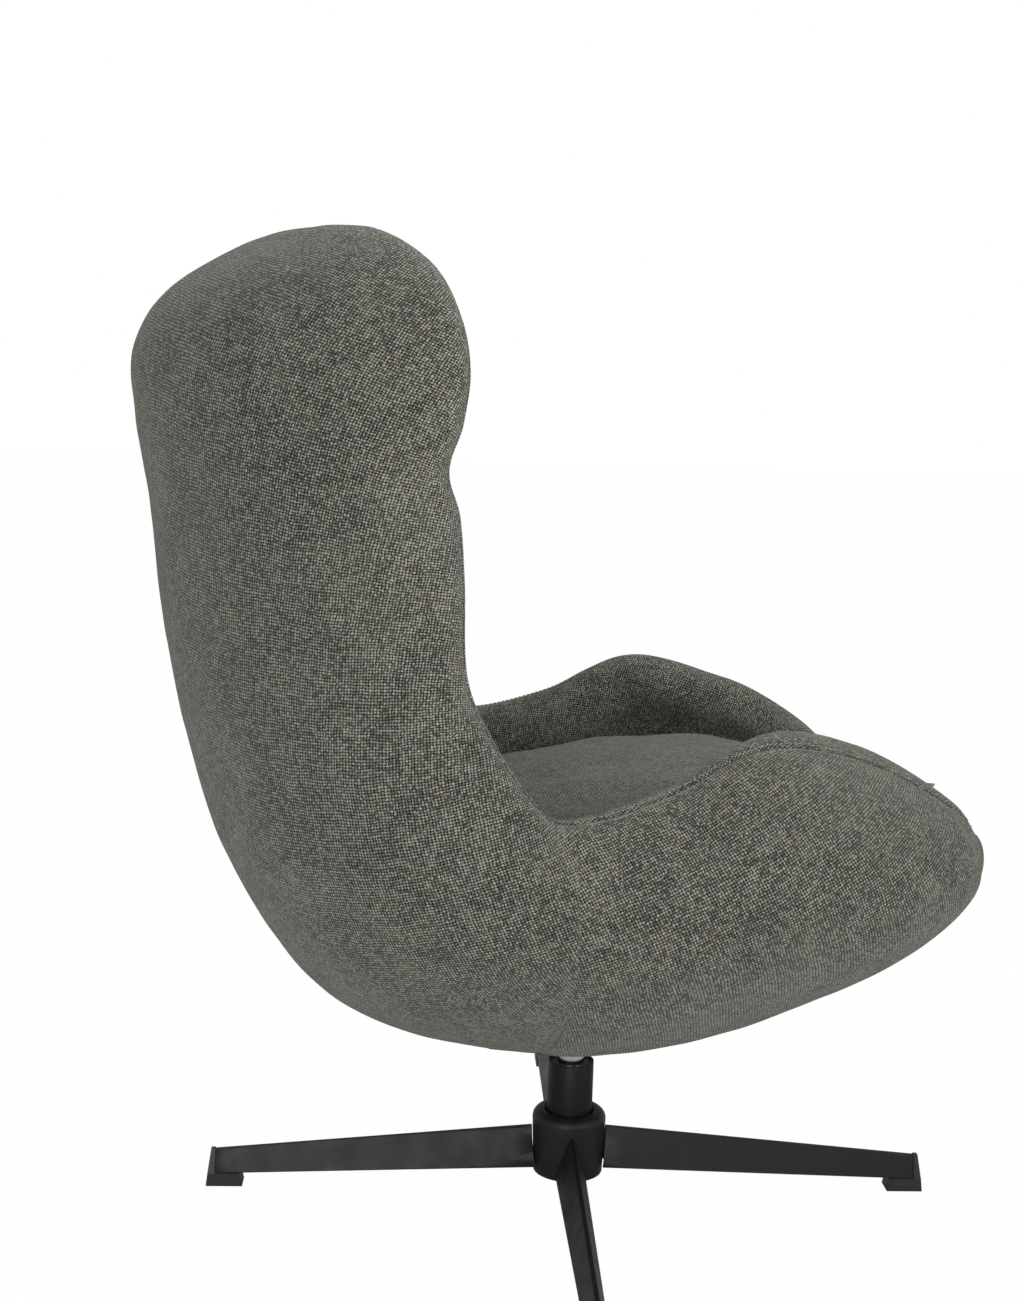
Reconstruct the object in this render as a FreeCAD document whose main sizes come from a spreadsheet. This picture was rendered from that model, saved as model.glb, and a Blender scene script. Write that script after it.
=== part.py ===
import FreeCAD, Part
import math
import os
import Sketcher

# A pod chair: a padded, hooded bucket seat that swivels on a column and a four-legged base.
# Millimetres. +Z is up, the sitter faces -Y and the sitter's left is +X.
# The origin lies on the floor, in the middle of the chair's depth and width.

doc = FreeCAD.newDocument("pod_chair")
Vector = FreeCAD.Vector

# Driving dimensions: alias, value
SIZES = [
    # the pod
    ("pod_width", 690),
    ("pod_depth", 816),
    ("pod_height", 768),
    ("underside_height", 182),
    ("axis_from_rear", 442),
    ("wall_thickness", 60),
    ("cover_thickness", 12),
    ("shell_thickness", 6),
    ("shell_setback", 25),
    ("arm_wrap", 20),
    ("soft_gap", 0.3),
    ("back_seam_from_rear", 370),
    ("front_seam_from_rear", 772),
    ("head_seam_height", 740),
    ("lip_width", 350),
    ("lip_depth", 110),
    # the seat
    ("cushion_base_height", 324),
    ("cushion_thickness", 112),
    ("cushion_width", 540),
    ("cushion_depth", 590),
    ("cushion_from_rear", 150),
    ("board_width", 220),
    ("board_depth", 205),
    ("board_thickness", 15),
    ("land_width", 172),
    ("land_thickness", 12),
    ("underside_cover_width", 290),
    ("underside_cover_depth", 405),
    ("underside_cover_behind", 110),
    ("underside_cover_thickness", 2),
    ("underside_opening_margin", 25),
    # the mounting plate
    ("plate_width", 150),
    ("plate_thickness", 5),
    ("plate_rise", 16),
    ("plate_corner", 12),
    ("bolt_spacing", 114),
    ("bolt_diameter", 8),
    ("bolt_hole", 9),
    ("bolt_head_diameter", 14),
    ("bolt_head_height", 4),
    ("washer_diameter", 17),
    ("washer_thickness", 1.6),
    ("nut_flange_diameter", 22),
    ("nut_flange_thickness", 1.5),
    ("nut_barrel_diameter", 10),
    ("nut_barrel_length", 12),
    ("socket_diameter", 44),
    ("socket_length", 38),
    # the column
    ("spindle_diameter", 28),
    ("spindle_taper", 1),
    ("pin_diameter", 12),
    ("sleeve_diameter", 46.6),
    ("sleeve_wall", 2.3),
    ("sleeve_floor", 4),
    ("sleeve_hole", 14),
    ("sleeve_length", 111),
    ("bush_recess", 2),
    ("upper_bush_length", 24),
    ("lower_bush_length", 16),
    ("lower_bush_height", 20),
    ("running_gap", 0.05),
    ("press_gap", 0.02),
    # the thrust bearing
    ("race_thickness", 2),
    ("race_bore", 16),
    ("race_diameter", 38),
    ("ball_diameter", 6),
    ("ball_circle", 27),
    ("ball_count", 10),
    ("ball_gap", 0.02),
    ("cage_thickness", 1.6),
    ("cage_width", 8),
    ("clip_thickness", 1.4),
    ("clip_diameter", 19),
    ("clip_groove_depth", 1),
    ("clip_opening", 8),
    ("end_washer_thickness", 1.2),
    ("end_washer_diameter", 24),
    # the base
    ("hub_height", 65),
    ("hub_clearance", 18),
    ("hub_bottom_diameter", 71),
    ("hub_top_diameter", 76),
    ("hub_floor", 6),
    ("hub_floor_hole", 30),
    ("hub_shoulder", 9),
    ("hub_recess", 3),
    ("base_radius", 370),
    ("base_turn", -7.1),
    ("leg_end_setback", 9),
    ("leg_root_top", 68),
    ("leg_root_bottom", 26.5),
    ("leg_root_width", 32),
    ("leg_tip_top", 36),
    ("leg_tip_bottom", 13.5),
    ("leg_tip_width", 20),
    ("leg_ridge", 4),
    ("leg_wall", 2.5),
    ("cap_wall", 0.8),
    ("cap_sole_length", 37),
    ("cap_toe_lean", 4.5),
    ("cap_heel_lean", 3),
    ("cap_plug_length", 14),
    ("cap_plug_rise", 0.8),
    ("fit_gap", 0.1),
]
sheet = doc.addObject("Spreadsheet::Sheet", "Sizes")
for row, (alias, number) in enumerate(SIZES, start=1):
    sheet.set("A%d" % row, alias)
    sheet.set("B%d" % row, str(number))
    sheet.setAlias("B%d" % row, alias)
doc.recompute()


class Length:
    """A value in millimetres with the sheet expression that gives it."""

    def __init__(self, number, text):
        self.mm = float(number)
        self.text = text

    @staticmethod
    def of(other):
        return other if isinstance(other, Length) else Length(other, repr(other))

    def joined(self, other, sign, number):
        return Length(number, "(%s %s %s)" % (self.text, sign, other.text))

    def __add__(self, other):
        other = Length.of(other)
        return self.joined(other, "+", self.mm + other.mm)

    def __sub__(self, other):
        other = Length.of(other)
        return self.joined(other, "-", self.mm - other.mm)

    def __mul__(self, other):
        other = Length.of(other)
        return self.joined(other, "*", self.mm * other.mm)

    def __truediv__(self, other):
        other = Length.of(other)
        return self.joined(other, "/", self.mm / other.mm)

    def __neg__(self):
        return Length(-self.mm, "(-%s)" % self.text)


def size(alias):
    return Length(getattr(sheet, alias), "Sizes." + alias)


ZERO = Length(0, "0")
AXIS_Y = size("pod_depth") / 2 - size("axis_from_rear")


# Helpers for sketches, bodies and placements


def bind(thing, place, length):
    """Ties a property to its expression."""
    thing.setExpression(place, length.text)


def origin_plane(body, role):
    for feature in body.Origin.OriginFeatures:
        if feature.Role == role:
            return feature
    raise ValueError(role)


def new_body(label, on_axis=True):
    body = doc.addObject("PartDesign::Body", label)
    body.Label = label
    if on_axis:
        bind(body, ".Placement.Base.y", AXIS_Y)
    return body


def new_sketch(body, name, role, height=ZERO):
    sketch = body.newObject("Sketcher::SketchObject", name)
    sketch.AttachmentSupport = [(origin_plane(body, role), "")]
    sketch.MapMode = "FlatFace"
    bind(sketch, ".AttachmentOffset.Base.z", height)
    return sketch


def place_point(sketch, index, across, up):
    """Holds the start point of a line at two lengths from the sketch's origin."""
    for kind, length in (("DistanceX", across), ("DistanceY", up)):
        if length.text == "0":
            axis = -2 if kind == "DistanceX" else -1
            sketch.addConstraint(Sketcher.Constraint("PointOnObject", index, 1, axis))
            continue
        rule = Sketcher.Constraint(kind, -1, 1, index, 1, length.mm)
        number = sketch.addConstraint(rule)
        bind(sketch, "Constraints[%d]" % number, length)


def draw_corners(sketch, corners):
    """A closed outline of straight lines through corners given as pairs of lengths."""
    first = sketch.GeometryCount
    count = len(corners)
    for i in range(count):
        here = Vector(corners[i][0].mm, corners[i][1].mm, 0)
        there = Vector(corners[(i + 1) % count][0].mm, corners[(i + 1) % count][1].mm, 0)
        sketch.addGeometry(Part.LineSegment(here, there), False)
    for i in range(count):
        after = first + (i + 1) % count
        sketch.addConstraint(Sketcher.Constraint("Coincident", first + i, 2, after, 1))
    for i, (across, up) in enumerate(corners):
        place_point(sketch, first + i, across, up)
    return sketch


def draw_circle(sketch, across, up, radius):
    centre = Vector(across.mm, up.mm, 0)
    index = sketch.addGeometry(Part.Circle(centre, Vector(0, 0, 1), radius.mm), False)
    for kind, length in (("DistanceX", across), ("DistanceY", up)):
        if length.text == "0":
            axis = -2 if kind == "DistanceX" else -1
            sketch.addConstraint(Sketcher.Constraint("PointOnObject", index, 3, axis))
            continue
        rule = Sketcher.Constraint(kind, -1, 1, index, 3, length.mm)
        bind(sketch, "Constraints[%d]" % sketch.addConstraint(rule), length)
    number = sketch.addConstraint(Sketcher.Constraint("Radius", index, radius.mm))
    bind(sketch, "Constraints[%d]" % number, radius)


def turned(label, corners):
    """A body turned about the swivel axis from an outline of (radius, height) corners."""
    body = new_body(label)
    sketch = draw_corners(new_sketch(body, label + "_outline", "XZ_Plane"), corners)
    turn = body.newObject("PartDesign::Revolution", label + "_turn")
    turn.Profile = (sketch, [""])
    turn.ReferenceAxis = (sketch, ["V_Axis"])
    turn.Angle = 360
    doc.recompute()
    return body


def circle_edges(shape, radius, height):
    """Names of the level circular edges of one radius at one height."""
    names = []
    for number, edge in enumerate(shape.Edges, start=1):
        curve = edge.Curve
        if not isinstance(curve, Part.Circle):
            continue
        same_radius = abs(curve.Radius - radius) < 0.01
        if same_radius and abs(curve.Center.z - height) < 0.01:
            names.append("Edge%d" % number)
    return names


def square_of(half, other_half=None):
    tall = other_half or half
    return [(-half, -tall), (half, -tall), (half, tall), (-half, tall)]


# Heights of the column, from the floor up
hub_bottom = size("hub_clearance")
hub_top = hub_bottom + size("hub_height")
sleeve_bottom = hub_bottom + size("hub_floor")
sleeve_top = sleeve_bottom + size("sleeve_length")
race_bottom = sleeve_bottom + size("sleeve_floor")
ball_bottom = race_bottom + size("race_thickness") + size("ball_gap")
ball_top = ball_bottom + size("ball_diameter")
ball_middle = ball_bottom + size("ball_diameter") / 2
upper_race_bottom = ball_top + size("ball_gap")
shoulder = upper_race_bottom + size("race_thickness")
plate_bottom = size("underside_height") + size("plate_rise")
plate_top = plate_bottom + size("plate_thickness")
socket_bottom = plate_bottom - size("socket_length")
land_top = plate_top + size("land_thickness")
board_top = land_top + size("board_thickness")

sleeve_radius = size("sleeve_diameter") / 2
sleeve_bore = sleeve_radius - size("sleeve_wall")
spindle_radius = size("spindle_diameter") / 2
pin_radius = size("pin_diameter") / 2


# Base: the hub, its four legs and their feet


def make_hub():
    low = size("hub_bottom_diameter") / 2
    high = size("hub_top_diameter") / 2
    bore = sleeve_radius + size("press_gap")
    hole = size("hub_floor_hole") / 2
    outline = [
        (hole, hub_bottom),
        (low, hub_bottom),
        (high, hub_top),
        (bore, hub_top),
        (bore, sleeve_bottom),
        (hole, sleeve_bottom),
    ]
    body = turned("base_hub", outline)
    turn = body.Tip
    shoulder_edge = circle_edges(turn.Shape, high.mm, hub_top.mm)
    rounding = body.newObject("PartDesign::Fillet", "hub_shoulder_round")
    rounding.Base = (turn, shoulder_edge)
    bind(rounding, "Radius", size("hub_shoulder"))
    doc.recompute()
    mouth_edge = circle_edges(rounding.Shape, bore.mm, hub_top.mm)
    recess = body.newObject("PartDesign::Chamfer", "hub_mouth_recess")
    recess.Base = (rounding, mouth_edge)
    bind(recess, "Size", size("hub_recess"))
    doc.recompute()
    return body


def leg_section(bottom, top, half_width, half_ridge):
    """Three-sided bar with a narrow flat ridge on top."""
    return [
        (-half_width, bottom),
        (half_width, bottom),
        (half_ridge, top),
        (-half_ridge, top),
    ]


LEG_ANGLES = {"front": -90, "left": 0, "rear": 90, "right": 180}
leg_tip_reach = size("base_radius") - size("leg_end_setback")


def turn_about_column(thing, angle):
    thing.Placement = FreeCAD.Placement(
        Vector(0, 0, 0), FreeCAD.Rotation(Vector(0, 0, 1), angle)
    )
    bind(thing, ".Placement.Rotation.Angle", Length(angle, repr(angle)) + size("base_turn"))
    bind(thing, ".Placement.Base.y", AXIS_Y)


def make_leg(name, angle):
    label = "leg_" + name
    body = new_body(label, on_axis=False)
    wall = size("leg_wall")
    half_ridge = size("leg_ridge") / 2
    root = leg_section(
        size("leg_root_bottom"), size("leg_root_top"), size("leg_root_width") / 2, half_ridge
    )
    tip = leg_section(
        size("leg_tip_bottom"), size("leg_tip_top"), size("leg_tip_width") / 2, half_ridge
    )
    outer_root = draw_corners(new_sketch(body, label + "_root", "YZ_Plane"), root)
    outer_tip = draw_corners(
        new_sketch(body, label + "_tip", "YZ_Plane", leg_tip_reach), tip
    )
    bar = body.newObject("PartDesign::AdditiveLoft", label + "_bar")
    bar.Profile = outer_root
    bar.Sections = [outer_tip]
    doc.recompute()
    inner_ridge = wall / 10
    hollow_root = leg_section(
        size("leg_root_bottom") + wall,
        size("leg_root_top") - wall * 3,
        size("leg_root_width") / 2 - wall * 2,
        inner_ridge,
    )
    hollow_tip = leg_section(
        size("leg_tip_bottom") + wall,
        size("leg_tip_top") - wall * 3,
        size("leg_tip_width") / 2 - wall * 2,
        inner_ridge,
    )
    inner_root = draw_corners(new_sketch(body, label + "_hollow_root", "YZ_Plane"), hollow_root)
    inner_tip = draw_corners(
        new_sketch(body, label + "_hollow_tip", "YZ_Plane", leg_tip_reach), hollow_tip
    )
    hollow = body.newObject("PartDesign::SubtractiveLoft", label + "_hollow")
    hollow.Profile = inner_root
    hollow.Sections = [inner_tip]
    doc.recompute()
    seat = new_sketch(body, label + "_hub_seat", "XY_Plane")
    draw_circle(seat, ZERO, ZERO, size("hub_top_diameter") / 2 + size("fit_gap"))
    cut = body.newObject("PartDesign::Pocket", label + "_hub_cut")
    cut.Profile = seat
    cut.Reversed = True
    bind(cut, "Length", hub_top)
    turn_about_column(body, angle)
    doc.recompute()
    if cut.Shape.Volume >= hollow.Shape.Volume:
        raise ValueError("the hub's cut missed " + label)
    return body


def make_foot_cap(name, angle):
    """An L-shaped plastic cap: a plate over the leg's end, a plug in it and a sole below it."""
    label = "foot_cap_" + name
    wall = size("cap_wall")
    toe = size("base_radius")
    sole_top = size("leg_tip_bottom") - size("fit_gap")
    plate_back = leg_tip_reach + size("fit_gap")
    plate_high = size("leg_tip_top") + wall
    side = [
        (toe - size("cap_sole_length"), ZERO),
        (toe, ZERO),
        (toe - size("cap_toe_lean"), plate_high),
        (plate_back, plate_high),
        (plate_back, sole_top),
        (toe - size("cap_sole_length") + size("cap_heel_lean"), sole_top),
    ]
    profile = doc.addObject("Sketcher::SketchObject", label + "_side")
    profile.Placement = FreeCAD.Placement(
        Vector(0, 0, 0), FreeCAD.Rotation(Vector(1, 0, 0), 90)
    )
    draw_corners(profile, side)
    slab = doc.addObject("Part::Extrusion", label + "_slab")
    slab.Base = profile
    slab.DirMode = "Normal"
    slab.Solid = True
    slab.Symmetric = True
    bind(slab, "LengthFwd", size("leg_root_width"))
    half_wide = size("leg_tip_width") / 2 + wall
    half_narrow = size("leg_ridge") / 2 + wall
    front_view = [
        (-half_wide, ZERO),
        (half_wide, ZERO),
        (half_wide, size("leg_tip_bottom")),
        (half_narrow, plate_high),
        (-half_narrow, plate_high),
        (-half_wide, size("leg_tip_bottom")),
    ]
    bar = extruded_across(label + "_bar", front_view, ZERO, toe)
    trimmed = doc.addObject("Part::MultiCommon", label + "_trimmed")
    trimmed.Shapes = [slab, bar]
    leg_inside = size("leg_wall")
    gap = size("fit_gap")
    plug_view = leg_section(
        size("leg_tip_bottom") + leg_inside + size("cap_plug_rise"),
        size("leg_tip_top") - leg_inside * 3 - gap * 3,
        size("leg_tip_width") / 2 - leg_inside * 2 - gap * 2,
        leg_inside / 20,
    )
    plug_start = leg_tip_reach - size("cap_plug_length")
    plug = extruded_across(
        label + "_plug", plug_view, plug_start, size("cap_plug_length") + gap * 2
    )
    cap = doc.addObject("Part::MultiFuse", label)
    cap.Label = label
    cap.Shapes = [trimmed, plug]
    turn_about_column(cap, angle)
    doc.recompute()
    return cap


def extruded_across(name, corners, start, length):
    """A bar along +X with an outline in the plane across it."""
    sketch = doc.addObject("Sketcher::SketchObject", name + "_outline")
    sketch.Placement = FreeCAD.Placement(
        Vector(0, 0, 0), FreeCAD.Rotation(Vector(1, 1, 1), 120)
    )
    bind(sketch, ".Placement.Base.x", start)
    draw_corners(sketch, corners)
    bar = doc.addObject("Part::Extrusion", name)
    bar.Base = sketch
    bar.DirMode = "Normal"
    bar.Solid = True
    bind(bar, "LengthFwd", length)
    return bar


# Column: the sleeve, its bushes, the thrust bearing and the spindle


def make_sleeve():
    hole = size("sleeve_hole") / 2
    return turned(
        "column_sleeve",
        [
            (hole, sleeve_bottom),
            (sleeve_radius, sleeve_bottom),
            (sleeve_radius, sleeve_top),
            (sleeve_bore, sleeve_top),
            (sleeve_bore, race_bottom),
            (hole, race_bottom),
        ],
    )


def ring(label, inner, outer, bottom, top):
    return turned(label, [(inner, bottom), (outer, bottom), (outer, top), (inner, top)])


def make_bushes():
    inner = spindle_radius + size("running_gap")
    outer = sleeve_bore - size("press_gap")
    top = sleeve_top - size("bush_recess")
    upper = ring("upper_bush", inner, outer, top - size("upper_bush_length"), top)
    low = race_bottom + size("lower_bush_height")
    lower = ring("lower_bush", inner, outer, low, low + size("lower_bush_length"))
    return [upper, lower]


def make_races():
    inner = size("race_bore") / 2
    outer = size("race_diameter") / 2
    lower = ring("lower_race", inner, outer, race_bottom, race_bottom + size("race_thickness"))
    upper = ring("upper_race", inner, outer, upper_race_bottom, shoulder)
    return [lower, upper]


def make_ball_cage():
    """A flat ring with a pocket for each ball."""
    circle = size("ball_circle") / 2
    half_band = size("cage_width") / 2
    half_thick = size("cage_thickness") / 2
    body = ring(
        "ball_cage",
        circle - half_band,
        circle + half_band,
        ball_middle - half_thick,
        ball_middle + half_thick,
    )
    blank = body.Tip.Shape.Volume
    sketch = new_sketch(body, "ball_pocket_outline", "XY_Plane")
    draw_circle(sketch, circle, ZERO, size("ball_diameter") / 2 + size("running_gap"))
    pocket = body.newObject("PartDesign::Pocket", "ball_pocket")
    pocket.Profile = sketch
    pocket.Reversed = True
    bind(pocket, "Length", ball_top)
    doc.recompute()
    pattern = body.newObject("PartDesign::PolarPattern", "ball_pockets")
    pattern.Originals = [pocket]
    pattern.Axis = (sketch, ["N_Axis"])
    pattern.Angle = 360
    bind(pattern, "Occurrences", size("ball_count"))
    body.Tip = pattern
    doc.recompute()
    if pattern.Shape.Volume >= blank:
        raise ValueError("the cage has no pockets")
    return body


def compound(label, solids, on_axis=True):
    """A group of equal solids in one sub-part, placed on the swivel axis."""
    group = doc.addObject("Part::Feature", label)
    group.Label = label
    group.Shape = Part.makeCompound(solids)
    if on_axis:
        group.Placement = FreeCAD.Placement(Vector(0, AXIS_Y.mm, 0), FreeCAD.Rotation())
    return group


def make_balls():
    circle = size("ball_circle").mm / 2
    count = int(size("ball_count").mm)
    balls = []
    for k in range(count):
        turn = 2 * math.pi * k / count
        centre = Vector(circle * math.cos(turn), circle * math.sin(turn), ball_middle.mm)
        balls.append(Part.makeSphere(size("ball_diameter").mm / 2, centre))
    return compound("bearing_balls", balls)


clip_top = sleeve_bottom - size("end_washer_thickness") - size("fit_gap") * 2
clip_bottom = clip_top - size("clip_thickness")


def make_spindle():
    groove = pin_radius - size("clip_groove_depth")
    gap = size("running_gap")
    end = clip_bottom - size("clip_groove_depth")
    top = plate_bottom - size("fit_gap")
    return turned(
        "swivel_spindle",
        [
            (ZERO, end),
            (pin_radius, end),
            (pin_radius, clip_bottom - gap),
            (groove, clip_bottom - gap),
            (groove, clip_top + gap),
            (pin_radius, clip_top + gap),
            (pin_radius, shoulder),
            (spindle_radius, shoulder),
            (spindle_radius, socket_bottom),
            (spindle_radius - size("spindle_taper"), top),
            (ZERO, top),
        ],
    )


def make_end_washer():
    inner = pin_radius + size("fit_gap")
    bottom = clip_top
    return ring(
        "end_washer",
        inner,
        size("end_washer_diameter") / 2,
        bottom,
        bottom + size("end_washer_thickness"),
    )


def make_clip():
    """A snap ring in the pin's groove, open on one side."""
    inner = pin_radius - size("clip_groove_depth") + size("press_gap")
    body = ring("retaining_clip", inner, size("clip_diameter") / 2, clip_bottom, clip_top)
    whole = body.Tip.Shape.Volume
    sketch = new_sketch(body, "clip_opening_outline", "XY_Plane")
    half = size("clip_opening") / 2
    reach = size("clip_diameter")
    draw_corners(sketch, [(ZERO, -half), (reach, -half), (reach, half), (ZERO, half)])
    opening = body.newObject("PartDesign::Pocket", "clip_opening")
    opening.Profile = sketch
    opening.Reversed = True
    bind(opening, "Length", sleeve_bottom)
    doc.recompute()
    if opening.Shape.Volume >= whole:
        raise ValueError("the clip is still closed")
    return body


# Under the seat: the socket, the plate and its bolts


def make_socket():
    outer = size("socket_diameter") / 2
    fit = size("press_gap")
    return turned(
        "plate_socket",
        [
            (spindle_radius + fit, socket_bottom),
            (outer, socket_bottom),
            (outer, plate_bottom),
            (spindle_radius - size("spindle_taper") + fit, plate_bottom),
        ],
    )


def make_plate():
    body = new_body("mounting_plate")
    half = size("plate_width") / 2
    sketch = draw_corners(
        new_sketch(body, "plate_outline", "XY_Plane", plate_bottom), square_of(half)
    )
    pad = body.newObject("PartDesign::Pad", "plate_pad")
    pad.Profile = sketch
    bind(pad, "Length", size("plate_thickness"))
    doc.recompute()
    uprights = []
    for number, edge in enumerate(pad.Shape.Edges, start=1):
        ends = [corner.Point for corner in edge.Vertexes]
        if abs(ends[0].x - ends[1].x) < 0.01 and abs(ends[0].y - ends[1].y) < 0.01:
            uprights.append("Edge%d" % number)
    corners = body.newObject("PartDesign::Fillet", "plate_corners")
    corners.Base = (pad, uprights)
    bind(corners, "Radius", size("plate_corner"))
    doc.recompute()
    holes = new_sketch(body, "plate_hole_outline", "XY_Plane", plate_bottom)
    place = size("bolt_spacing") / 2
    for across in (-place, place):
        for along in (-place, place):
            draw_circle(holes, across, along, size("bolt_hole") / 2)
    drilled = body.newObject("PartDesign::Pocket", "plate_holes")
    drilled.Profile = holes
    drilled.Reversed = True
    bind(drilled, "Length", size("plate_thickness"))
    doc.recompute()
    if drilled.Shape.Volume >= corners.Shape.Volume:
        raise ValueError("the plate has no holes")
    return body


def bolt_places():
    half = size("bolt_spacing").mm / 2
    return [(x, y) for x in (-half, half) for y in (-half, half)]


def cylinder(radius, bottom, top, x=0, y=0):
    return Part.makeCylinder(radius, top - bottom, Vector(x, y, bottom))


def make_bolts():
    """Round-headed bolts from below, through the plate and the land into the tee nuts."""
    head_top = plate_bottom.mm - size("washer_thickness").mm
    head_bottom = head_top - size("bolt_head_height").mm
    bolts = []
    for x, y in bolt_places():
        head = cylinder(size("bolt_head_diameter").mm / 2, head_bottom, head_top, x, y)
        shank = cylinder(size("bolt_diameter").mm / 2, head_top, board_top.mm, x, y)
        bolts.append(head.fuse(shank).removeSplitter())
    return compound("plate_bolts", bolts)


def make_washers():
    bottom = plate_bottom.mm - size("washer_thickness").mm
    hole = size("bolt_diameter").mm / 2 + size("fit_gap").mm
    washers = []
    for x, y in bolt_places():
        disc = cylinder(size("washer_diameter").mm / 2, bottom, plate_bottom.mm, x, y)
        washers.append(disc.cut(cylinder(hole, bottom, plate_bottom.mm, x, y)))
    return compound("plate_washers", washers)


def make_tee_nuts():
    hole = size("bolt_diameter").mm / 2 + size("press_gap").mm
    low = board_top.mm - size("nut_barrel_length").mm
    high = board_top.mm + size("nut_flange_thickness").mm
    nuts = []
    for x, y in bolt_places():
        barrel = cylinder(size("nut_barrel_diameter").mm / 2, low, board_top.mm, x, y)
        flange = cylinder(size("nut_flange_diameter").mm / 2, board_top.mm, high, x, y)
        nut = barrel.fuse(flange).removeSplitter()
        nuts.append(nut.cut(cylinder(hole, low, high, x, y)))
    return compound("tee_nuts", nuts)


# The pod's skin.
# Each station is a section of the outer skin, from the top rim down the back, under the seat
# and up to the front lip: the middle line's place, the rim's place, the half width and the
# angle from the middle line to the rim about the section's own centre, in degrees.
# Places are per cent of the pod's depth from its rearmost point and of its height from its
# underside, and the half width is per cent of the pod's half width.
STATIONS = [
    (24.0, 98.7, 24.8, 98.2, 14.5, 95),
    (18.6, 99.9, 28.2, 98.7, 50.7, 95),
    (11.0, 97.4, 32.1, 95.3, 68.1, 95),
    (3.9, 92.4, 34.1, 90.0, 77.7, 95),
    (0.2, 85.4, 34.8, 83.6, 82.3, 96),
    (0.5, 77.2, 34.2, 77.5, 83.5, 97),
    (1.7, 69.4, 33.0, 72.7, 84.1, 98),
    (2.5, 62.9, 34.2, 68.1, 84.6, 99),
    (3.4, 54.4, 34.8, 60.9, 86.1, 100),
    (6.4, 38.8, 35.3, 51.2, 89.9, 103),
    (12.1, 21.2, 37.7, 45.3, 95.1, 107),
    (23.5, 6.3, 41.7, 39.6, 98.6, 112),
    (45.0, 0.0, 45.6, 34.9, 100.0, 118),
    (61.5, 0.8, 55.4, 39.3, 100.0, 124),
    (74.4, 4.3, 67.4, 46.4, 98.0, 132),
    (84.6, 9.2, 79.7, 42.7, 90.4, 138),
    (92.4, 15.4, 90.0, 36.5, 76.8, 132),
    (97.3, 20.3, 96.4, 30.7, 52.2, 112),
    (100.0, 24.7, 99.8, 26.3, 14.5, 95),
]
depth = size("pod_depth").mm
height = size("pod_height").mm
half_width = size("pod_width").mm / 2
floor_to_pod = size("underside_height").mm
wall = size("wall_thickness").mm
cover = size("cover_thickness").mm
gap = size("soft_gap").mm
rim_clearance = 10
shell_outside = cover + gap
shell_inside = shell_outside + size("shell_thickness").mm
lining_outside = shell_inside + gap


def from_rear(distance):
    """The Y of a place this far ahead of the pod's rearmost point."""
    return depth / 2 - distance


def skin_point(index, share):
    """A point of the outer skin: share runs from 0 on the middle line to 1 on the rim."""
    mid_y, mid_z, rim_y, rim_z, wide, angle = STATIONS[index]
    turn = math.radians(angle)
    rise = (1 - math.cos(share * turn)) / (1 - math.cos(turn))
    y = from_rear((mid_y + (rim_y - mid_y) * rise) / 100 * depth)
    z = floor_to_pod + (mid_z + (rim_z - mid_z) * rise) / 100 * height
    x = wide / 100 * half_width * math.sin(share * turn)
    return Vector(x, y, z)


def skin_normal(index, share):
    """The outward direction of the skin there."""
    before = max(index - 1, 0)
    after = min(index + 1, len(STATIONS) - 1)
    along = skin_point(after, share) - skin_point(before, share)
    step = 0.02
    across = skin_point(index, share + step) - skin_point(index, share - step)
    normal = across.cross(along)
    normal.normalize()
    return normal


def offset_point(index, share, inset):
    return skin_point(index, share) - skin_normal(index, share) * inset


def section(index, inset, reach):
    """A closed section of the skin moved in by inset: arcs round the trough and a line across
    its mouth. A positive reach carries the mouth out past the rim, a negative one stops the
    section short of the rim by that much of its skin."""
    middle = offset_point(index, 0, inset)
    rim = skin_point(index, 1)
    root = skin_point(index, 0)
    up = Vector(0, rim.y - root.y, rim.z - root.z)
    up.normalize()

    def in_plane(share, side):
        point = offset_point(index, share, inset)
        rise = Vector(0, point.y - middle.y, point.z - middle.z).dot(up)
        return Vector(side * point.x, middle.y + up.y * rise, middle.z + up.z * rise)

    end = 1.0
    if reach < 0:
        length = sum(
            (skin_point(index, k / 20) - skin_point(index, (k - 1) / 20)).Length
            for k in range(1, 21)
        )
        end = 1 + reach / length
    half_end = end / 2
    edges = []
    for side in (1, -1):
        low = Part.Arc(
            in_plane(0, side), in_plane(half_end / 2, side), in_plane(half_end, side)
        )
        high = Part.Arc(
            in_plane(half_end, side), in_plane((half_end + end) / 2, side), in_plane(end, side)
        )
        arms = [low.toShape(), high.toShape()]
        if reach > 0:
            tip = in_plane(end, side)
            arms.append(Part.makeLine(tip, tip + up * reach))
        edges.append(arms)
    right_top = edges[0][-1].valueAt(edges[0][-1].LastParameter)
    left_top = edges[1][-1].valueAt(edges[1][-1].LastParameter)
    mouth = Part.makeLine(right_top, left_top)
    ordered = edges[1][::-1] + edges[0] + [mouth]
    return Part.Wire(Part.__sortEdges__(ordered))


def pod_solid(inset, reach=0.0, first=0, last=len(STATIONS) - 1):
    """The space inside the skin moved in by inset, closed across the mouth."""
    wires = [section(k, inset, reach) for k in range(first, last + 1)]
    return Part.makeLoft(wires, True, True, False)


def box(x_low, x_high, y_low, y_high, z_low, z_high):
    corner = Vector(x_low, y_low, z_low)
    return Part.makeBox(x_high - x_low, y_high - y_low, z_high - z_low, corner)


far = 1000.0
back_seam = from_rear(size("back_seam_from_rear").mm)
front_seam = from_rear(size("front_seam_from_rear").mm)
cushion_base = size("cushion_base_height").mm
head_seam = size("head_seam_height").mm
axis_y = AXIS_Y.mm


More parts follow.
